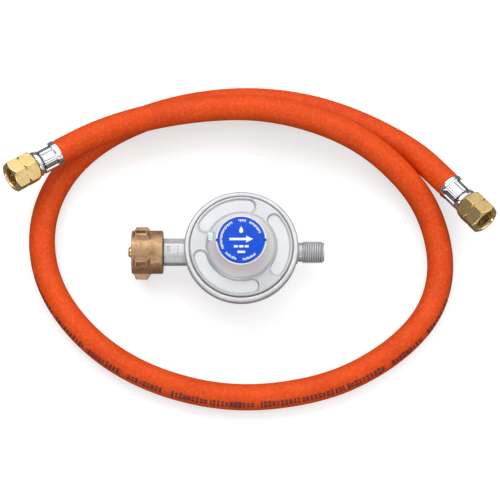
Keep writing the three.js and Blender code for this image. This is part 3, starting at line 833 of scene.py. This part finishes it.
def studio():
    """A pale floor under soft boxes, in a pale room."""
    half = 6.0
    height = -0.0002
    mesh = bpy.data.meshes.new("floor")
    corners = [(-half, -half, height), (half, -half, height), (half, half, height), (-half, half, height)]
    mesh.from_pydata(corners, [], [(0, 1, 2, 3)])
    floor = in_scene("floor", mesh)
    mesh.materials.append(paper())
    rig.stage(floor)

    soft_box("key", (-0.3, 0.95, 1.2), (2.0, 1.2), 17)
    soft_box("fill", (1.1, 0.4, 1.05), (1.0, 1.0), 4)
    soft_box("front", (-0.5, -1.3, 0.8), (1.2, 0.5), 8.5)
    bpy.context.scene.world = room()
    bpy.context.scene.view_settings.view_transform = "Standard"


def paper():
    finish = Finish("studio_paper", Roughness=0.85, Specular_IOR_Level=0.1, Emission_Color=(1, 1, 1, 1))
    seen = finish.node("ShaderNodeLightPath").outputs["Is Camera Ray"]
    lit = finish.blend(finish.ranged(finish.noise(40), 0, 1), (0.52, 0.52, 0.52), (0.54, 0.54, 0.54))
    finish.colour(finish.blend(seen, (0.16, 0.16, 0.16), lit))
    finish.feed(finish.shader.inputs["Emission Strength"], finish.times(seen, 0.52))
    return finish.material


def room():
    """A bright ceiling and pale walls with a dark strip between them, which polished metal mirrors.
    The walls are dimmer towards the front left."""
    world = bpy.data.worlds.new("room")
    nodes = Nodes(world)
    direction = nodes.node("ShaderNodeTexCoord").outputs["Generated"]
    parts = nodes.node("ShaderNodeSeparateXYZ")
    nodes.feed(parts.inputs[0], direction)
    ramp = nodes.node("ShaderNodeValToRGB")
    nodes.feed(ramp.inputs["Fac"], parts.outputs["Z"])
    stops = ((0.0, 0.05), (0.2, 0.3), (0.3, 0.95), (0.53, 0.95), (0.57, 0.01), (0.7, 0.01), (0.75, 1.0))
    while len(ramp.color_ramp.elements) < len(stops):
        ramp.color_ramp.elements.new(0.5)
    for element, (position, level) in zip(ramp.color_ramp.elements, stops):
        element.position = position
        element.color = (level, level, level, 1)
    back_right = nodes.node("ShaderNodeVectorMath", operation="DOT_PRODUCT")
    back_right.inputs[1].default_value = (1.0, 0.8, 0.0)
    nodes.feed(back_right.inputs[0], direction)
    background = nodes.tree.nodes["Background"]
    nodes.feed(background.inputs["Color"], ramp.outputs["Color"])
    strength = nodes.ranged(back_right.outputs["Value"], 0.3, 1.25, -0.95, -0.2)
    nodes.feed(background.inputs["Strength"], strength)
    return world


# ---------------- hose

HOSE_STEP = 1.4  # millimetres between the hose's rings
PRINT_MIDDLE = 0.48  # share of the hose's length where its print faces up most
PRINT_LOW = -60  # degrees round the hose from its outer side, where the print hides near the ends
PRINT_SWING = 101  # degrees that it turns up from there at its middle
CRIMP_DEPTH = FERRULE_LENGTH - 1.8
RIM_RADIUS = 7.32  # of the hose where it enters a ferrule


def distance_along(points):
    return np.concatenate([[0], np.cumsum(np.linalg.norm(np.diff(points, axis=0), axis=1))])


def natural_spline(points, step):
    """Points about a step apart on a cubic spline through the given points, with straight ends."""
    points = np.array(points, float)
    knots = distance_along(points)
    gaps = np.diff(knots)
    size = len(points)
    system = np.eye(size)
    right = np.zeros((size, 3))
    slopes = np.diff(points, axis=0) / gaps[:, None]
    for i in range(1, size - 1):
        system[i, i - 1:i + 2] = gaps[i - 1], 2 * (gaps[i - 1] + gaps[i]), gaps[i]
        right[i] = 6 * (slopes[i] - slopes[i - 1])
    bends = np.linalg.solve(system, right)
    where = np.linspace(0, knots[-1], round(knots[-1] / step))
    span = np.clip(np.searchsorted(knots, where, side="right") - 1, 0, size - 2)
    gap = gaps[span][:, None]
    past = (where - knots[span])[:, None]
    left = gap - past
    return (
        (bends[span] * left ** 3 + bends[span + 1] * past ** 3) / (6 * gap)
        + (points[span] / gap - bends[span] * gap / 6) * left
        + (points[span + 1] / gap - bends[span + 1] * gap / 6) * past
    )


def hose_centre_line():
    """The whole centre line in millimetres, and how many of its points are in each ferrule."""
    depths = np.concatenate([np.arange(0.0, 4.6, 0.5), [7.0, CRIMP_DEPTH - 0.4, CRIMP_DEPTH]])
    left, right = (
        np.array(joint["pos_m"]) / MM + np.outer(depths, joint["axis"])
        for joint in (JOINTS["left_nut_spin"], JOINTS["right_nut_spin"])
    )
    return np.vstack([left[::-1], natural_spline(HOSE_ROUTE, HOSE_STEP), right]), len(depths)


def hose_radius(past_rim):
    """The hose's outer radius by the distance past the ferrule's rim, inwards positive."""
    swell = smoothstep(0.6, -3.5, past_rim)
    outside = RIM_RADIUS + (HOSE_RADIUS - RIM_RADIUS) * swell
    squeeze = smoothstep(2.3, 4.4, past_rim)
    return outside + (CRIMPED_HOSE_RADIUS - outside) * squeeze


def hose():
    """The tube, with its print turned up in front and out of sight near the ends."""
    line, crimped = hose_centre_line()
    travelled = distance_along(line)
    tangent = np.gradient(line, axis=0)
    tangent /= np.linalg.norm(tangent, axis=1)[:, None]
    side = np.cross((0, 0, 1), tangent)
    side /= np.linalg.norm(side, axis=1)[:, None]
    up = np.cross(tangent, side)

    past_rim = np.maximum(travelled[crimped - 1] - travelled, travelled - travelled[-crimped])
    radius = hose_radius(past_rim)

    faces_up = 1 - smoothstep(0.05, 0.36, np.abs(travelled / travelled[-1] - PRINT_MIDDLE))
    print_angle = np.radians(PRINT_LOW + PRINT_SWING * faces_up)
    sides = 48
    turn = ring_angles(sides) + math.pi

    def ring(index, size):
        angle = (turn + print_angle[index])[:, None]
        return line[index] + size * (side[index] * np.cos(angle) + up[index] * np.sin(angle))

    outer = [ring(index, radius[index]) for index in range(len(line))]
    bore = [ring(index, HOSE_BORE_RADIUS + 0.05) for index in reversed(range(len(line)))]
    piece = solid_from_grid("hose_tube", np.array(outer + bore))
    add_hose_uv(piece, sides, travelled)
    finished(piece, "hose", "hose_line", "orange_rubber")
    return piece, line


def add_hose_uv(piece, sides, travelled):
    """U is the distance along the hose in metres, V the share of the way round from the seam."""
    layer = piece.data.uv_layers.new(name="along_and_around")
    ring_distance = np.concatenate([travelled, travelled[::-1]]) * MM
    values = np.empty((len(piece.data.loops), 2), np.float32)
    for face in piece.data.polygons:
        columns = [vertex % sides for vertex in face.vertices]
        wraps = max(columns) - min(columns) > sides / 2
        for loop, vertex, column in zip(face.loop_indices, face.vertices, columns):
            past_seam = sides if wraps and column == 0 else 0
            values[loop] = ring_distance[vertex // sides], (column + past_seam) / sides
    layer.data.foreach_set("uv", values.ravel())


# ---------------- hose fittings

def ferrule(side):
    """A crimped sleeve: eight pressed flats with narrow ribs between them, and a flared rim."""
    sides = 256
    flat_count = 8
    end = FERRULE_LENGTH
    rim, pressed = 8.05, 0.22
    flat, widest, rib_height, groove_depth = 6.98, 7.35, 0.36, 0.42
    offset = from_flat(ring_angles(sides), flat_count)
    from_corner = 1 - np.abs(offset) * flat_count / math.pi
    rib = np.exp(-((from_corner / 0.13) ** 2))
    groove = np.exp(-(((from_corner - 0.28) / 0.10) ** 2))
    flats = np.minimum(flat / np.cos(offset), widest) + rib_height * rib - groove_depth * groove
    flare_end = 2.35 + 0.95 * (1 - rib)

    rows = []
    for radius, height in profile([(7.45, 0), (rim, 0), (rim, 2.2)], 0.28, 0.25, closed=False):
        rows.append((radius - pressed * (1 - rib) * smoothstep(0.3, 2.0, height), height))
    for height in np.arange(2.3, end - 1.0, 0.22):
        flared = smoothstep(flare_end + 0.75, flare_end - 0.75, height)
        rows.append((flats + (rim - pressed * (1 - rib) - flats) * flared, height))
    nose_length = 0.95
    for rise, fall in quarter_turn(0.1, 7):
        rows.append((flats - 1.1 * fall, end - nose_length * (1 - rise)))
    rows += [(4.0, end), (4.0, end - 0.8), (6.5, end - 1.2), (6.5, 4.3), (7.4, 2.6), (7.4, 0.2)]
    piece = placed(lathe(f"{side}_crimped_ferrule", rows, sides), fitting_matrix(side))
    return finished(piece, f"{side}_ferrule", "hose_line", "chrome")


def hose_tail(side):
    """The hose's insert: a tube in the bore, a faceted collar, and a cone head in the nut."""
    sides = 192
    bore, barb, throat, cone, foot = 2.4, 3.5, 4.4, 5.4, 6.6
    chamfer = 1.2
    head = UNION_NUT_START + 3.4
    facets = (COLLAR_RADIUS - 0.28) / np.cos(from_flat(ring_angles(sides), 8, math.radians(11)))
    outline = profile([
        (bore, -3), (barb, -3), (barb, COLLAR_START), (foot, COLLAR_START),
        (COLLAR_RADIUS, COLLAR_START + chamfer), (COLLAR_RADIUS, COLLAR_END - chamfer), (foot, COLLAR_END),
        (throat, COLLAR_END), (throat, head), (cone, head), (cone, head + 2.2), (3.4, head + 4.2),
        (bore, head + 4.2),
    ], 0.5, 0.3)
    rows = [
        (soft_min(radius, facets, 0.12) if radius > cone + 0.6 else radius, height)
        for radius, height in outline
    ]
    piece = placed(lathe(f"{side}_swivel_tail", rows, sides), fitting_matrix(side))
    return finished(piece, f"{side}_hose_tail", "hose_line", "chrome")


def union_nut(side):
    """A hexagon nut with chamfered ends, a notch across each corner and a left-hand thread."""
    sides = 360
    start, end = UNION_NUT_START, UNION_NUT_END
    chamfer = 1.15  # of radius for each millimetre along
    hexagon = UNION_NUT_FLATS / 2 / np.cos(from_flat(ring_angles(sides), 6))
    middle = (start + end) / 2 - 0.4
    rows = []
    dome_foot, dome_rise, dome_length = 8.1, 1.8, 2.6
    mouth_radius, notch_radius = 8.15, 8.72
    for height in np.arange(start, end, 0.2):
        before_dome = 1 - min((height - start) / dome_length, 1)
        back_dome = dome_foot + dome_rise * math.sqrt(1 - before_dome ** 2)
        mouth_cone = mouth_radius + (end - height) * chamfer
        notch = notch_radius + abs(height - middle) * chamfer
        outside = soft_min(hexagon, min(back_dome, mouth_cone), 0.22)
        rows.append((soft_min(outside, notch, 0.12), height))
    cavity = start + 3.1
    major = QUARTER_GAS["major"]
    thread_end = end - 0.7
    rows += [(8.1, end - 0.03), (7.95, end), (7.1, end), (6.95, end - 0.05), (major, thread_end)]
    rows += reversed(thread_rows(sides, cavity + 2.6, thread_end, QUARTER_GAS))
    rows += [
        (major, cavity + 2.4), (major, cavity + 0.1), (6.4, cavity), (4.9, cavity), (4.75, cavity - 0.1),
        (4.75, start + 0.2), (4.95, start), (7.9, start),
    ]
    piece = placed(lathe(f"{side}_hexagon_union", rows, sides), fitting_matrix(side))
    return finished(piece, f"{side}_union_nut", f"{side}_nut", "bright_brass")


# ---------------- regulator casting

STEM_FLAT = 7.6  # from the inlet's axis to each flat of the stem
STEM_TOP = PORT_HEIGHT + STEM_FLAT
BOWL_WALL = [
    (18, 0), (19.2, 1), (20.5, 6), (25.5, 14.5), (28.8, 20.5), (29.6, 24.3), (33, 24.9), (33.5, 25.6),
]


def octagon_stem():
    """The flat-sided inlet stem, from inside the bowl to its end face, whose edge is rounded."""
    sides = 160
    edge = 0.45
    corner = np.full(sides, 8.12)
    outline = soft_min(STEM_FLAT / np.cos(from_flat(ring_angles(sides), 8)), corner, 0.25)
    rows = [(outline, 23.0)]
    rows.extend((outline, height) for height in np.arange(24, STEM_END - 0.5, 1.5))
    rows.extend((outline - edge * fall, STEM_END - edge * (1 - rise)) for rise, fall in quarter_turn(0, 5))
    return placed(lathe("stem", rows, sides, closed=False), ALONG_INLET)


def stem_seam():
    """The cutter for a shallow curved line across the stem's top, beside the bowl."""
    width, depth = 0.6, 0.7
    curve = [(-36.7 - 0.03 * y * y, y) for y in np.linspace(-4.9, 4.9, 13)]
    outline = curve + [(x - width, y) for x, y in reversed(curve)]
    return prism("seam", outline, STEM_TOP - depth, STEM_TOP + 1)


def stem_frame():
    """A raised frame on the stem's top flat, left empty."""
    border = 0.7
    back, front, half = -44.2, -40.7, 2.6
    outer = block("frame", (back, -half, STEM_TOP - 0.6), (front, half, STEM_TOP + 0.34))
    low = (back + border, border - half, STEM_TOP - 0.1)
    high = (front - border, half - border, STEM_TOP + 1)
    return boolean(outer, [block("hollow", low, high)], "DIFFERENCE")


def outlet_fitting():
    """The outlet: a spigot in the casting's wall, a boss that follows the bowl, a neck and a thread."""
    sides = 144
    start, end = OUTLET_START, OUTLET_END
    bore, spigot, neck, boss = 3.9, 4.9, 5.6, 6.9
    boss_end = 33.2
    thread_start, thread_end = 35.7, end - 0.9
    front = [(bore, start), (spigot, start), (spigot, boss_end)]
    shoulder = [(spigot, boss_end), (neck, boss_end + 0.3), (neck, thread_start - 0.1)]
    rows = profile(front, 0.3, 0.8, closed=False) + profile(shoulder, 0.4, 0.8, closed=False)
    rows += thread_rows(sides, thread_start, thread_end, QUARTER_GAS, female=False, run_out=0.6)
    tip = [(5.72, thread_end + 0.1), (5.5, end - 0.15), (5.35, end), (4.7, end), (4.55, end - 0.1)]
    rows += tip + [(bore, end - 0.75)]
    stub = placed(lathe("outlet_stub", rows, sides), ALONG_OUTLET)
    inside, back = spigot - 0.4, start + 1
    ring = rounded([(inside, back), (boss, back), (boss, boss_end), (inside, boss_end)], 0.5)
    collar = placed(lathe("outlet_boss", ring, sides), ALONG_OUTLET)
    gap = 0.1
    bowl = [(radius + gap, height - gap) for radius, height in BOWL_WALL] + [(33.6, 30)]
    boolean(collar, [lathe("bowl_room", bowl, 220, closed=False)], "DIFFERENCE")
    boolean(stub, [collar], "UNION")
    stub.name = "threaded_outlet"
    return finished(stub, "outlet_fitting", "regulator", "cast_zinc")


def regulator_casting():
    """The bowl with its crimped rim, the stem, and the slider's guide and the lever's room inside."""
    bowl_outline = rounded(BOWL_WALL + [
        (33.5, 29.4), (32.7, 30.5), (31.2, 30.6), (30.5, 30.3), (30.5, 29), (32, 29), (32, 25.6), (27, 25.6),
        (26.5, 20.5), (23, 13.5), (17, 5), (15.5, 4),
    ], 0.7, closed=False)
    casting = lathe("casting", [(12, 0)] + bowl_outline + [(12, 4)], 220, closed=False)
    guide = placed(rod("guide", STEM_FLAT, 10.6, 30), ALONG_INLET)
    pedestal = block("pedestal", (-18.5, -5.5, 3), (-10.6, 5.5, PORT_HEIGHT))
    boolean(casting, [octagon_stem(), guide, pedestal], "UNION")
    boolean(casting, [stem_frame()], "UNION")
    boolean(casting, [stem_seam()], "DIFFERENCE")
    # The slider's guide, the gas passage and the nipple's bore, from the inside outwards.
    stepped_bore = [(4.2, 9.6), (4.2, 27), (3.3, 27), (3.3, 38), (5.3, 38), (5.3, STEM_END + 1)]
    pin_axis = axes_matrix((1, 0, 0), (0, 0, 1), (0, -1, 0), JOINTS["lever_tilt"]["pos_m"])
    boolean(casting, [
        rod("chamber", 26.4, 22.4, 26.6, 160),
        placed(lathe("passage", stepped_bore, 64, closed=False), ALONG_INLET),
        placed(rod("spigot_hole", 5.05, 18, 32), ALONG_OUTLET),
        block("lever_slot", (-19, -1.9, 8.2), (-9.6, 1.9, PORT_HEIGHT)),
        placed(rod("pin_hole", 1.2, -8, 8), pin_axis),
    ], "DIFFERENCE")
    casting.name = "regulator_casting"
    return finished(casting, "regulator_body", "regulator", "cast_zinc")


# ---------------- cover and label

POCKETS = ((80, 149), (-33, 39), (195, 285))  # degrees from the outlet, anticlockwise
POCKET_MIDDLE = 24.6
POCKET_HALF_WIDTH = 3.9
EDGE_START = 29.3  # the radius at which the deck starts to round off
CONE_TOP = (15.0, 43.4)
CONE_FOOT = (19.6, 32.6)
LABEL_SEAT = 14.0


def distance_to_pocket(radius, angle, pocket):
    """How far a point of the cover is outside a kidney-shaped pocket, negative inside."""
    start, end = (math.radians(value) for value in pocket)
    half = (end - start) / 2
    turn = (angle - start - half + math.pi) % TURN - math.pi
    past_end = np.maximum(np.abs(turn) - half, 0)
    across = radius * np.cos(past_end) - POCKET_MIDDLE
    return np.hypot(across, radius * np.sin(past_end)) - POCKET_HALF_WIDTH


def cone_height(radius):
    (top_radius, top), (foot_radius, foot) = CONE_TOP, CONE_FOOT
    return top + (radius - top_radius) * (foot - top) / (foot_radius - top_radius)


def cover_height(radius, angle):
    """The cover's upper surface: a cone in the middle, and a flange with three sunk pockets."""
    deck = DECK - 0.035 * (radius - 20)
    apart = np.min([distance_to_pocket(radius, angle, pocket) for pocket in POCKETS], axis=0)
    wall = smoothstep(-0.6, 0.4, apart)
    border = 0.30 * np.exp(-(((apart - 0.55) / 0.42) ** 2))
    flange = POCKET_FLOOR + (deck - POCKET_FLOOR) * wall + border
    fillet = 1.4 + 2.2 * smoothstep(0.5, 3.5, apart)
    return soft_max(cone_height(radius), flange, fillet)


def bonnet():
    """The cover: a lip for the label, the cone, the deck with its pockets, and a hollow inside."""
    sides = 720
    # Part of a step: points in line with the diagonal would confuse the shader's Pointiness.
    turned = 0.25 * TURN / sides
    angle = ring_angles(sides) + turned
    radii = np.concatenate([np.arange(15.0, 20.0, 0.35), np.arange(20.0, 29.31, 0.17)])
    lip = rounded([(LABEL_SEAT, 44.3), (LABEL_SEAT, 44.8), (14.6, 44.8), CONE_TOP], 0.3, closed=False)
    rows = list(lip[:-1])
    rows.extend((radius, cover_height(radius, angle)) for radius in radii)
    edge_height = cover_height(EDGE_START, angle)
    rows.extend((EDGE_START + 0.75 * rise, edge_height - 0.8 * fall) for rise, fall in quarter_turn(0.15, 6))
    rows.extend([
        (30.1, 28.7), (31.6, 28.7), (31.6, 27.4), (27.3, 27.4), (26.8, 29.4), (17.4, 30.2), (12.4, 41.6),
        (9.6, 41.6), (9.6, 37.5), (7.3, 37.5), (7.3, 44.3),
    ])
    cover = lathe("bonnet", rows, sides, turned=turned)
    clearance = 0.25
    low, high = box_mm("vent_insert")
    low, high = (low.x - clearance, low.y - clearance, 29), (high.x + clearance, high.y + clearance, 45)
    boolean(cover, [block("vent_hole", low, high)], "DIFFERENCE")
    cover.name = "bonnet"
    cover.data.materials.append(MATERIALS["cover_zinc"])
    return finished(cover, "bonnet_cover", "regulator", "cast_zinc")


def vent_grille():
    """A small comb of a plug: three bars across the vent, with slots between them."""
    low, high = box_mm("vent_insert")
    slots = 3
    slot_width = 0.35
    slot_depth = 0.5
    span = high.y - low.y
    outline = [(low.y, low.z), (low.y, high.z)]
    for slot in range(slots):
        middle = low.y + span * (slot + 1) / (slots + 1)
        for y, z in ((-1, 0), (-1, -1), (1, -1), (1, 0)):
            outline.append((middle + y * slot_width / 2, high.z + z * slot_depth))
    outline.extend([(high.y, high.z), (high.y, low.z)])
    piece = prism("vent_grille", outline, low.x, high.x, bevel=0.1)
    placed(piece, axes_matrix((0, 1, 0), (0, 0, 1), (1, 0, 0), (0, 0, 0)))
    return finished(piece, "vent_insert", "regulator", "pale_vent")


def label_marks(face):
    """Generic white marks: a flow arrow, a drop above it, rules below it and a ring of ticks."""
    marks = []

    def mark(outline):
        marks.append(prism("mark", outline, face - 0.05, face + 0.06))

    mark([(-6.8, -0.3), (-6.8, 1.1), (2.9, 1.1), (2.9, 2.4), (6.9, 0.4), (2.9, -1.6), (2.9, -0.3)])
    mark([(1.6 * math.sin(a) * math.sin(a / 2) ** 1.3, 6.1 + 2.0 * math.cos(a)) for a in ring_angles(28)])
    for left, right, y in ((-4.2, -1.8, -4.6), (-1.1, 1.3, -4.6), (2.0, 4.3, -4.6), (-2.1, 2.3, -7.9)):
        mark([(left, y), (right, y), (right, y + 1.3), (left, y + 1.3)])
    tick_inner, tick_outer = 10.9, 12.3
    for start, end in ((22, 66), (78, 100), (118, 206), (222, 258), (276, 316)):
        for index, degrees in enumerate(np.arange(start, end, 4.6)):
            inner = tick_inner + 0.35 * (index % 3 == 1)
            half = math.radians(1.1 + 0.5 * (index % 2))
            centre = math.radians(degrees)
            mark([
                (radius * math.cos(centre + turn), radius * math.sin(centre + turn))
                for radius, turn in ((inner, -half), (tick_outer, -half), (tick_outer, half), (inner, half))
            ])
    return marks


def label():
    """The blue cap that hides the adjusting screw, with two key tabs and raised white marks."""
    rim = LABEL_SEAT - 0.3
    outline = [(0.4, LABEL_BOTTOM), (rim, LABEL_BOTTOM), (rim, LABEL_TOP), (0.4, LABEL_TOP)]
    pieces = [lathe("cap", rounded(outline, 0.15, closed=False), 160, closed=False)]
    for side in (-1, 1):
        low, high = sorted((side * (rim - 0.6), side * (rim + 0.95)))
        tab = block("tab", (low, -0.75, LABEL_TOP - 0.4), (high, 0.75, LABEL_TOP))
        ease_edges(tab, 0.1)
        pieces.append(tab)
    for piece in pieces:
        piece.data.materials.append(MATERIALS["blue_label"])
    marks = label_marks(LABEL_TOP - 0.04)
    for mark in marks:
        mark.data.materials.append(MATERIALS["white_ink"])
    whole = joined("gas_label", pieces + marks)
    return finished(whole, "label_cap", "regulator", "blue_label")


# ---------------- bottle connection

WINGS = 5
FIRST_WING = 104.0  # degrees round the inlet from straight up
NUT_BARREL = 12.75


def sink_crown(piece):
    """Sinks the middle of a wing's outer face, so that a narrow rim stands round it."""
    work = bmesh.new()
    work.from_mesh(piece.data)
    crown = max((face for face in work.faces if face.normal.x > 0.99), key=lambda face: face.calc_area())
    for border, depth in ((0.15, 0), (0.2, -0.45)):
        bmesh.ops.inset_region(work, faces=[crown], thickness=border * MM, depth=depth * MM)
    work.to_mesh(piece.data)
    work.free()
    shade(piece)


def wing(index):
    """A tapered rib on the nut, sunk into its barrel. Each end is (radius, half width, back, front)."""
    sunk_end = (11.6, 2.9, 52.3, 63.9)
    crown = (16.15, 1.8, 55.3, 62.0)
    vertices = []
    for radius, half, back, front in (sunk_end, crown):
        vertices += [(radius, -half, back), (radius, half, back)]
        vertices += [(radius, half, front), (radius, -half, front)]
    faces = [(0, 3, 2, 1), (4, 5, 6, 7), (0, 1, 5, 4), (1, 2, 6, 5), (2, 3, 7, 6), (3, 0, 4, 7)]
    piece = mesh_object("wing", vertices, faces)
    ease_edges(piece, 0.4, framed=True)
    sink_crown(piece)
    angle = math.radians(FIRST_WING + 360 / WINGS * index)
    return placed(piece, Matrix.Rotation(angle, 4, "Z"))


def inlet_nut():
    """A brass nut with five tapered wings at its mouth and a left-hand thread inside."""
    sides = 240
    back, mouth = INLET_NUT_BACK, INLET_NUT_MOUTH
    cavity = back + 3.0
    major = BOTTLE_THREAD["major"]
    outside = [(6.3, back), (NUT_BARREL, back), (NUT_BARREL, mouth), (major + 0.4, mouth)]
    rows = profile(outside, 0.9, 1.2, closed=False) + [(major, mouth - 0.55)]
    rows += reversed(thread_rows(sides, cavity + 3.0, mouth - 0.6, BOTTLE_THREAD))
    rows += [(major, cavity + 2.8), (major, cavity + 0.3), (10.6, cavity), (6.6, cavity), (6.3, cavity - 0.3)]
    barrel = lathe("winged_inlet_nut", rows, sides)
    piece = joined("winged_inlet_nut", [barrel] + [wing(index) for index in range(WINGS)])
    placed(piece, ALONG_INLET)
    return finished(piece, "inlet_union_nut", "inlet_nut", "satin_brass")


def nipple():
    outline = [
        (1.8, 38.4), (5, 38.4), (5, 45.9), (6, 45.9), (6, 49.3), (9.4, 49.3), (9.4, 52.4), (3.1, 52.4),
        (3.1, 65.2), (2.5, NIPPLE_END), (1.8, NIPPLE_END),
    ]
    piece = placed(lathe("inlet_pipe", profile(outline, 0.35, 1.0)), ALONG_INLET)
    return finished(piece, "inlet_nipple", "regulator", "bright_brass")


def seal():
    outline = [(3.4, 52.7), (7.5, 52.7), (7.5, 54.9), (5.6, 54.9), (5.2, 54.6), (4.2, 54.6), (3.4, 54.9)]
    piece = placed(lathe("inlet_washer", profile(outline, 0.3, 0.8)), ALONG_INLET)
    return finished(piece, "inlet_seal", "regulator", "black_rubber")


# ---------------- assembly

KEPT_NODES = {
    "white_plastic": ["adjusting_screw"],
    "steel": ["diaphragm_plate", "valve_lever", "lever_pin", "inlet_filter"],
    "bright_brass": ["diaphragm_stem", "valve_slider", "inlet_nozzle"],
    "black_rubber": ["valve_pad"],
}


def diaphragm():
    """A round rubber sheet: its bead is clamped in the casting and its middle lifts with the plate."""
    held, free = 25.0, 17.5
    section = profile([
        (3.8, 24.1), (free, 24.1), (19.4, 25.3), (22, 26.5), (24.6, 25.9), (31.4, 25.9),
        (31.4, 27.1), (held, 27.1), (22, 27.7), (18.8, 26.5), (17.2, 25.1), (3.8, 25.1),
    ], 0.4, 1.0)
    sheet = lathe("rubber_diaphragm", section, sides=120)
    sheet.data.materials.append(MATERIALS["black_rubber"])
    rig.replaces(sheet, "diaphragm")
    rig.slot(sheet, "black_rubber")
    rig.blend(sheet, "diaphragm_stack", "regulator", start=(free * MM, 0, 0), end=(held * MM, 0, 0))
    places = np.array([vertex.co for vertex in sheet.data.vertices]) / MM
    share = smoothstep(free, held, np.hypot(places[:, 0], places[:, 1]))
    sheet.data.attributes["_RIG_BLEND"].data.foreach_set("value", share.astype(np.float32))


def main_spring():
    """A coil spring between the diaphragm's plate and the adjuster. It shortens as the plate lifts."""
    wire = 0.8
    turns = 5
    low, high = box_mm("main_spring")
    coil_radius = high.x - wire
    share = np.linspace(0, 1, 48 * turns)[:, None]
    angle = TURN * turns * share
    round_wire = ring_angles(14)[None, :]
    radius = coil_radius + wire * np.cos(round_wire)
    middle = low.z + wire + (high.z - low.z - 2 * wire) * share
    points = np.stack([
        radius * np.cos(angle), radius * np.sin(angle), middle + wire * np.sin(round_wire),
    ], axis=-1)
    spring = solid_from_grid("coil_spring", points, closed=False)
    finished(spring, "main_spring", "regulator", "steel")
    travel = JOINTS["diaphragm_travel"]["range_m"][1] / MM
    keep = 1 - travel / (high.z - low.z)
    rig.squash(spring, "diaphragm_travel", axis=(0, 0, 1), anchor=(0, 0, high.z * MM), keep=keep)


def keep_cad_nodes():
    """The small pieces of the valve train keep their CAD shape, with a finished material."""
    for slot, names in KEPT_NODES.items():
        for name in names:
            materials = frame["nodes"][name].data.materials
            materials.clear()
            materials.append(MATERIALS[slot])


def hose_with_fittings():
    tube, line = hose()
    pieces = []
    for side in ("left", "right"):
        pieces.extend([ferrule(side), hose_tail(side), union_nut(side)])
    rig.cord(
        tube,
        exit=JOINTS["left_nut_spin"]["pos_m"],
        length=0.930,
        diameter=2 * HOSE_RADIUS * MM,
        far_end="fitting",
        stiffness="stiff",
        lay="loose",
        path=[tuple(point * MM) for point in line],
        with_pieces=pieces,
    )


camera()
hose_with_fittings()
studio()
regulator_casting()
outlet_fitting()
bonnet()
vent_grille()
label()
inlet_nut()
nipple()
seal()
diaphragm()
main_spring()
keep_cad_nodes()

with open("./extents.json", "w") as size_file:
    boxes = {"cad": CAD_BOX, "visual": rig.bounds()}
    json.dump({name: [list(corner) for corner in box] for name, box in boxes.items()}, size_file)
